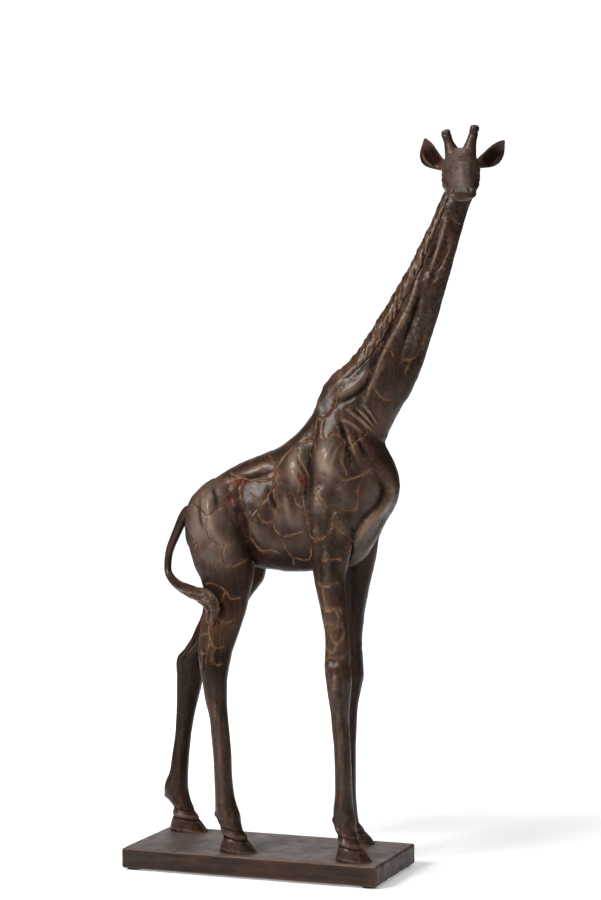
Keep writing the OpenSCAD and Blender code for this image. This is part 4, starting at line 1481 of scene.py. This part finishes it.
def pad_rubber():
    n = Nodes("pad_rubber")
    speck = n.noise(700, 3, 0.6)
    # Pale grey dust on the rubber
    pale_layer = n.noise(120, 4, 0.6)
    colour = n.mix(n.spread(speck, 0.4, 0.7), rgb("#161514"), rgb("#2a2826"))
    colour = n.cover(colour, [(pale_layer, 0.55, 0.75, 0.5, "#4a4640")])
    return n.finish(colour, n.spread(pale_layer, 0.3, 0.7, 0.75, 0.95), n.bump(speck, 0.4, 0.0002))


# ---------------------------------------------------------------- stage, light and camera

FLOOR_HALF = 1.6
ROOM_LIGHT = 0.06
BACKGROUND_LIGHT = 1.1
CAMERA_PLACE = (1.0006, -2.5815, 0.5789)
CAMERA_DOWN = 1.975
CAMERA_TURN = 21.19 - 0.764
CAMERA_LENS = 95.93


def floor_material():
    """Pale floor that brightens into the white background away from the object."""
    n = Nodes("floor")
    grit = n.noise(40, 3, 0.5)
    distance = n.node("VectorMath")
    distance.operation = "LENGTH"
    n.feed(distance.inputs[0], n.coords)
    glow = n.spread(distance.outputs["Value"], 0.35, 1.0, 0.32, 1.0)
    n.feed(n.shader.inputs["Emission Color"], (1, 1, 1, 1))
    n.feed(n.shader.inputs["Emission Strength"], glow)
    return n.finish(n.mix(grit, (0.84, 0.84, 0.84, 1), (0.88, 0.88, 0.88, 1)), 0.9, n.bump(grit, 0.1, 0.0002))


def make_floor():
    h = FLOOR_HALF
    mesh = mesh_from("floor", [(-h, -h, 0), (h, -h, 0), (h, h, 0), (-h, h, 0)], [[0, 1, 2, 3]])
    mesh.materials.append(floor_material())
    floor = new_object("floor", mesh)
    floor.location = (0, 0, FLOOR)


def make_world():
    """A dim room that the camera sees as plain white."""
    world = bpy.data.worlds.new("studio")
    world.use_nodes = True
    tree = world.node_tree
    dim = tree.nodes["Background"]
    dim.inputs["Color"].default_value = (0.96, 0.98, 1, 1)
    dim.inputs["Strength"].default_value = ROOM_LIGHT
    white = tree.nodes.new("ShaderNodeBackground")
    white.inputs["Color"].default_value = (1, 1, 1, 1)
    white.inputs["Strength"].default_value = BACKGROUND_LIGHT
    seen = tree.nodes.new("ShaderNodeLightPath").outputs["Is Camera Ray"]
    choose = tree.nodes.new("ShaderNodeMixShader")
    for number, socket in enumerate((seen, dim.outputs[0], white.outputs[0])):
        tree.links.new(socket, choose.inputs[number])
    tree.links.new(choose.outputs[0], tree.nodes["World Output"].inputs[0])
    bpy.context.scene.world = world
    bpy.context.scene.view_settings.view_transform = "Standard"


def area_light(name, place, target, size, power):
    light = bpy.data.lights.new(name, "AREA")
    light.size = size
    light.energy = power
    obj = new_object(name, light)
    obj.location = place
    x, y, z = np.array(target, float) - np.array(place, float)
    obj.rotation_euler = (math.pi / 2 + math.atan2(z, math.hypot(x, y)), 0, math.atan2(y, x) - math.pi / 2)
    return obj


def make_camera():
    data = bpy.data.cameras.new("camera")
    data.sensor_width = 36
    data.lens = CAMERA_LENS
    camera = new_object("camera", data)
    camera.location = CAMERA_PLACE
    camera.rotation_euler = (math.radians(90 - CAMERA_DOWN), 0, math.radians(CAMERA_TURN))
    bpy.context.scene.camera = camera


make_camera()
make_floor()
make_world()
area_light("key", (-1.2, -2.0, 2.0), (0, 0, 0.45), 1.2, 108)
area_light("side", (1.9, -1.7, 1.5), (0.05, 0, 0.45), 0.5, 6)
area_light("top", (0.1, 0.1, 2.4), (0, 0, 0.3), 1.2, 18)
backdrop = area_light("backdrop", (-0.9, 2.4, 0.6), (0, 0, 0.3), 1.9, 9)
backdrop.visible_camera = False

MAKERS = (carved_wood, plinth_wood, dowel_wood, screw_steel, pad_rubber)
SLOT_MATERIALS = {make.__name__: make() for make in MAKERS}
NODE_SLOTS = {part["node"]: part["material_slot"] for part in frame["record"]["subparts"]}
for name, node in frame["nodes"].items():
    node.data.materials.clear()
    node.data.materials.append(SLOT_MATERIALS[NODE_SLOTS[name]])
cut_body(carve_animal())
cut_head(carve_head())
cut_piece("tail", carve_tail())
make_plinth()
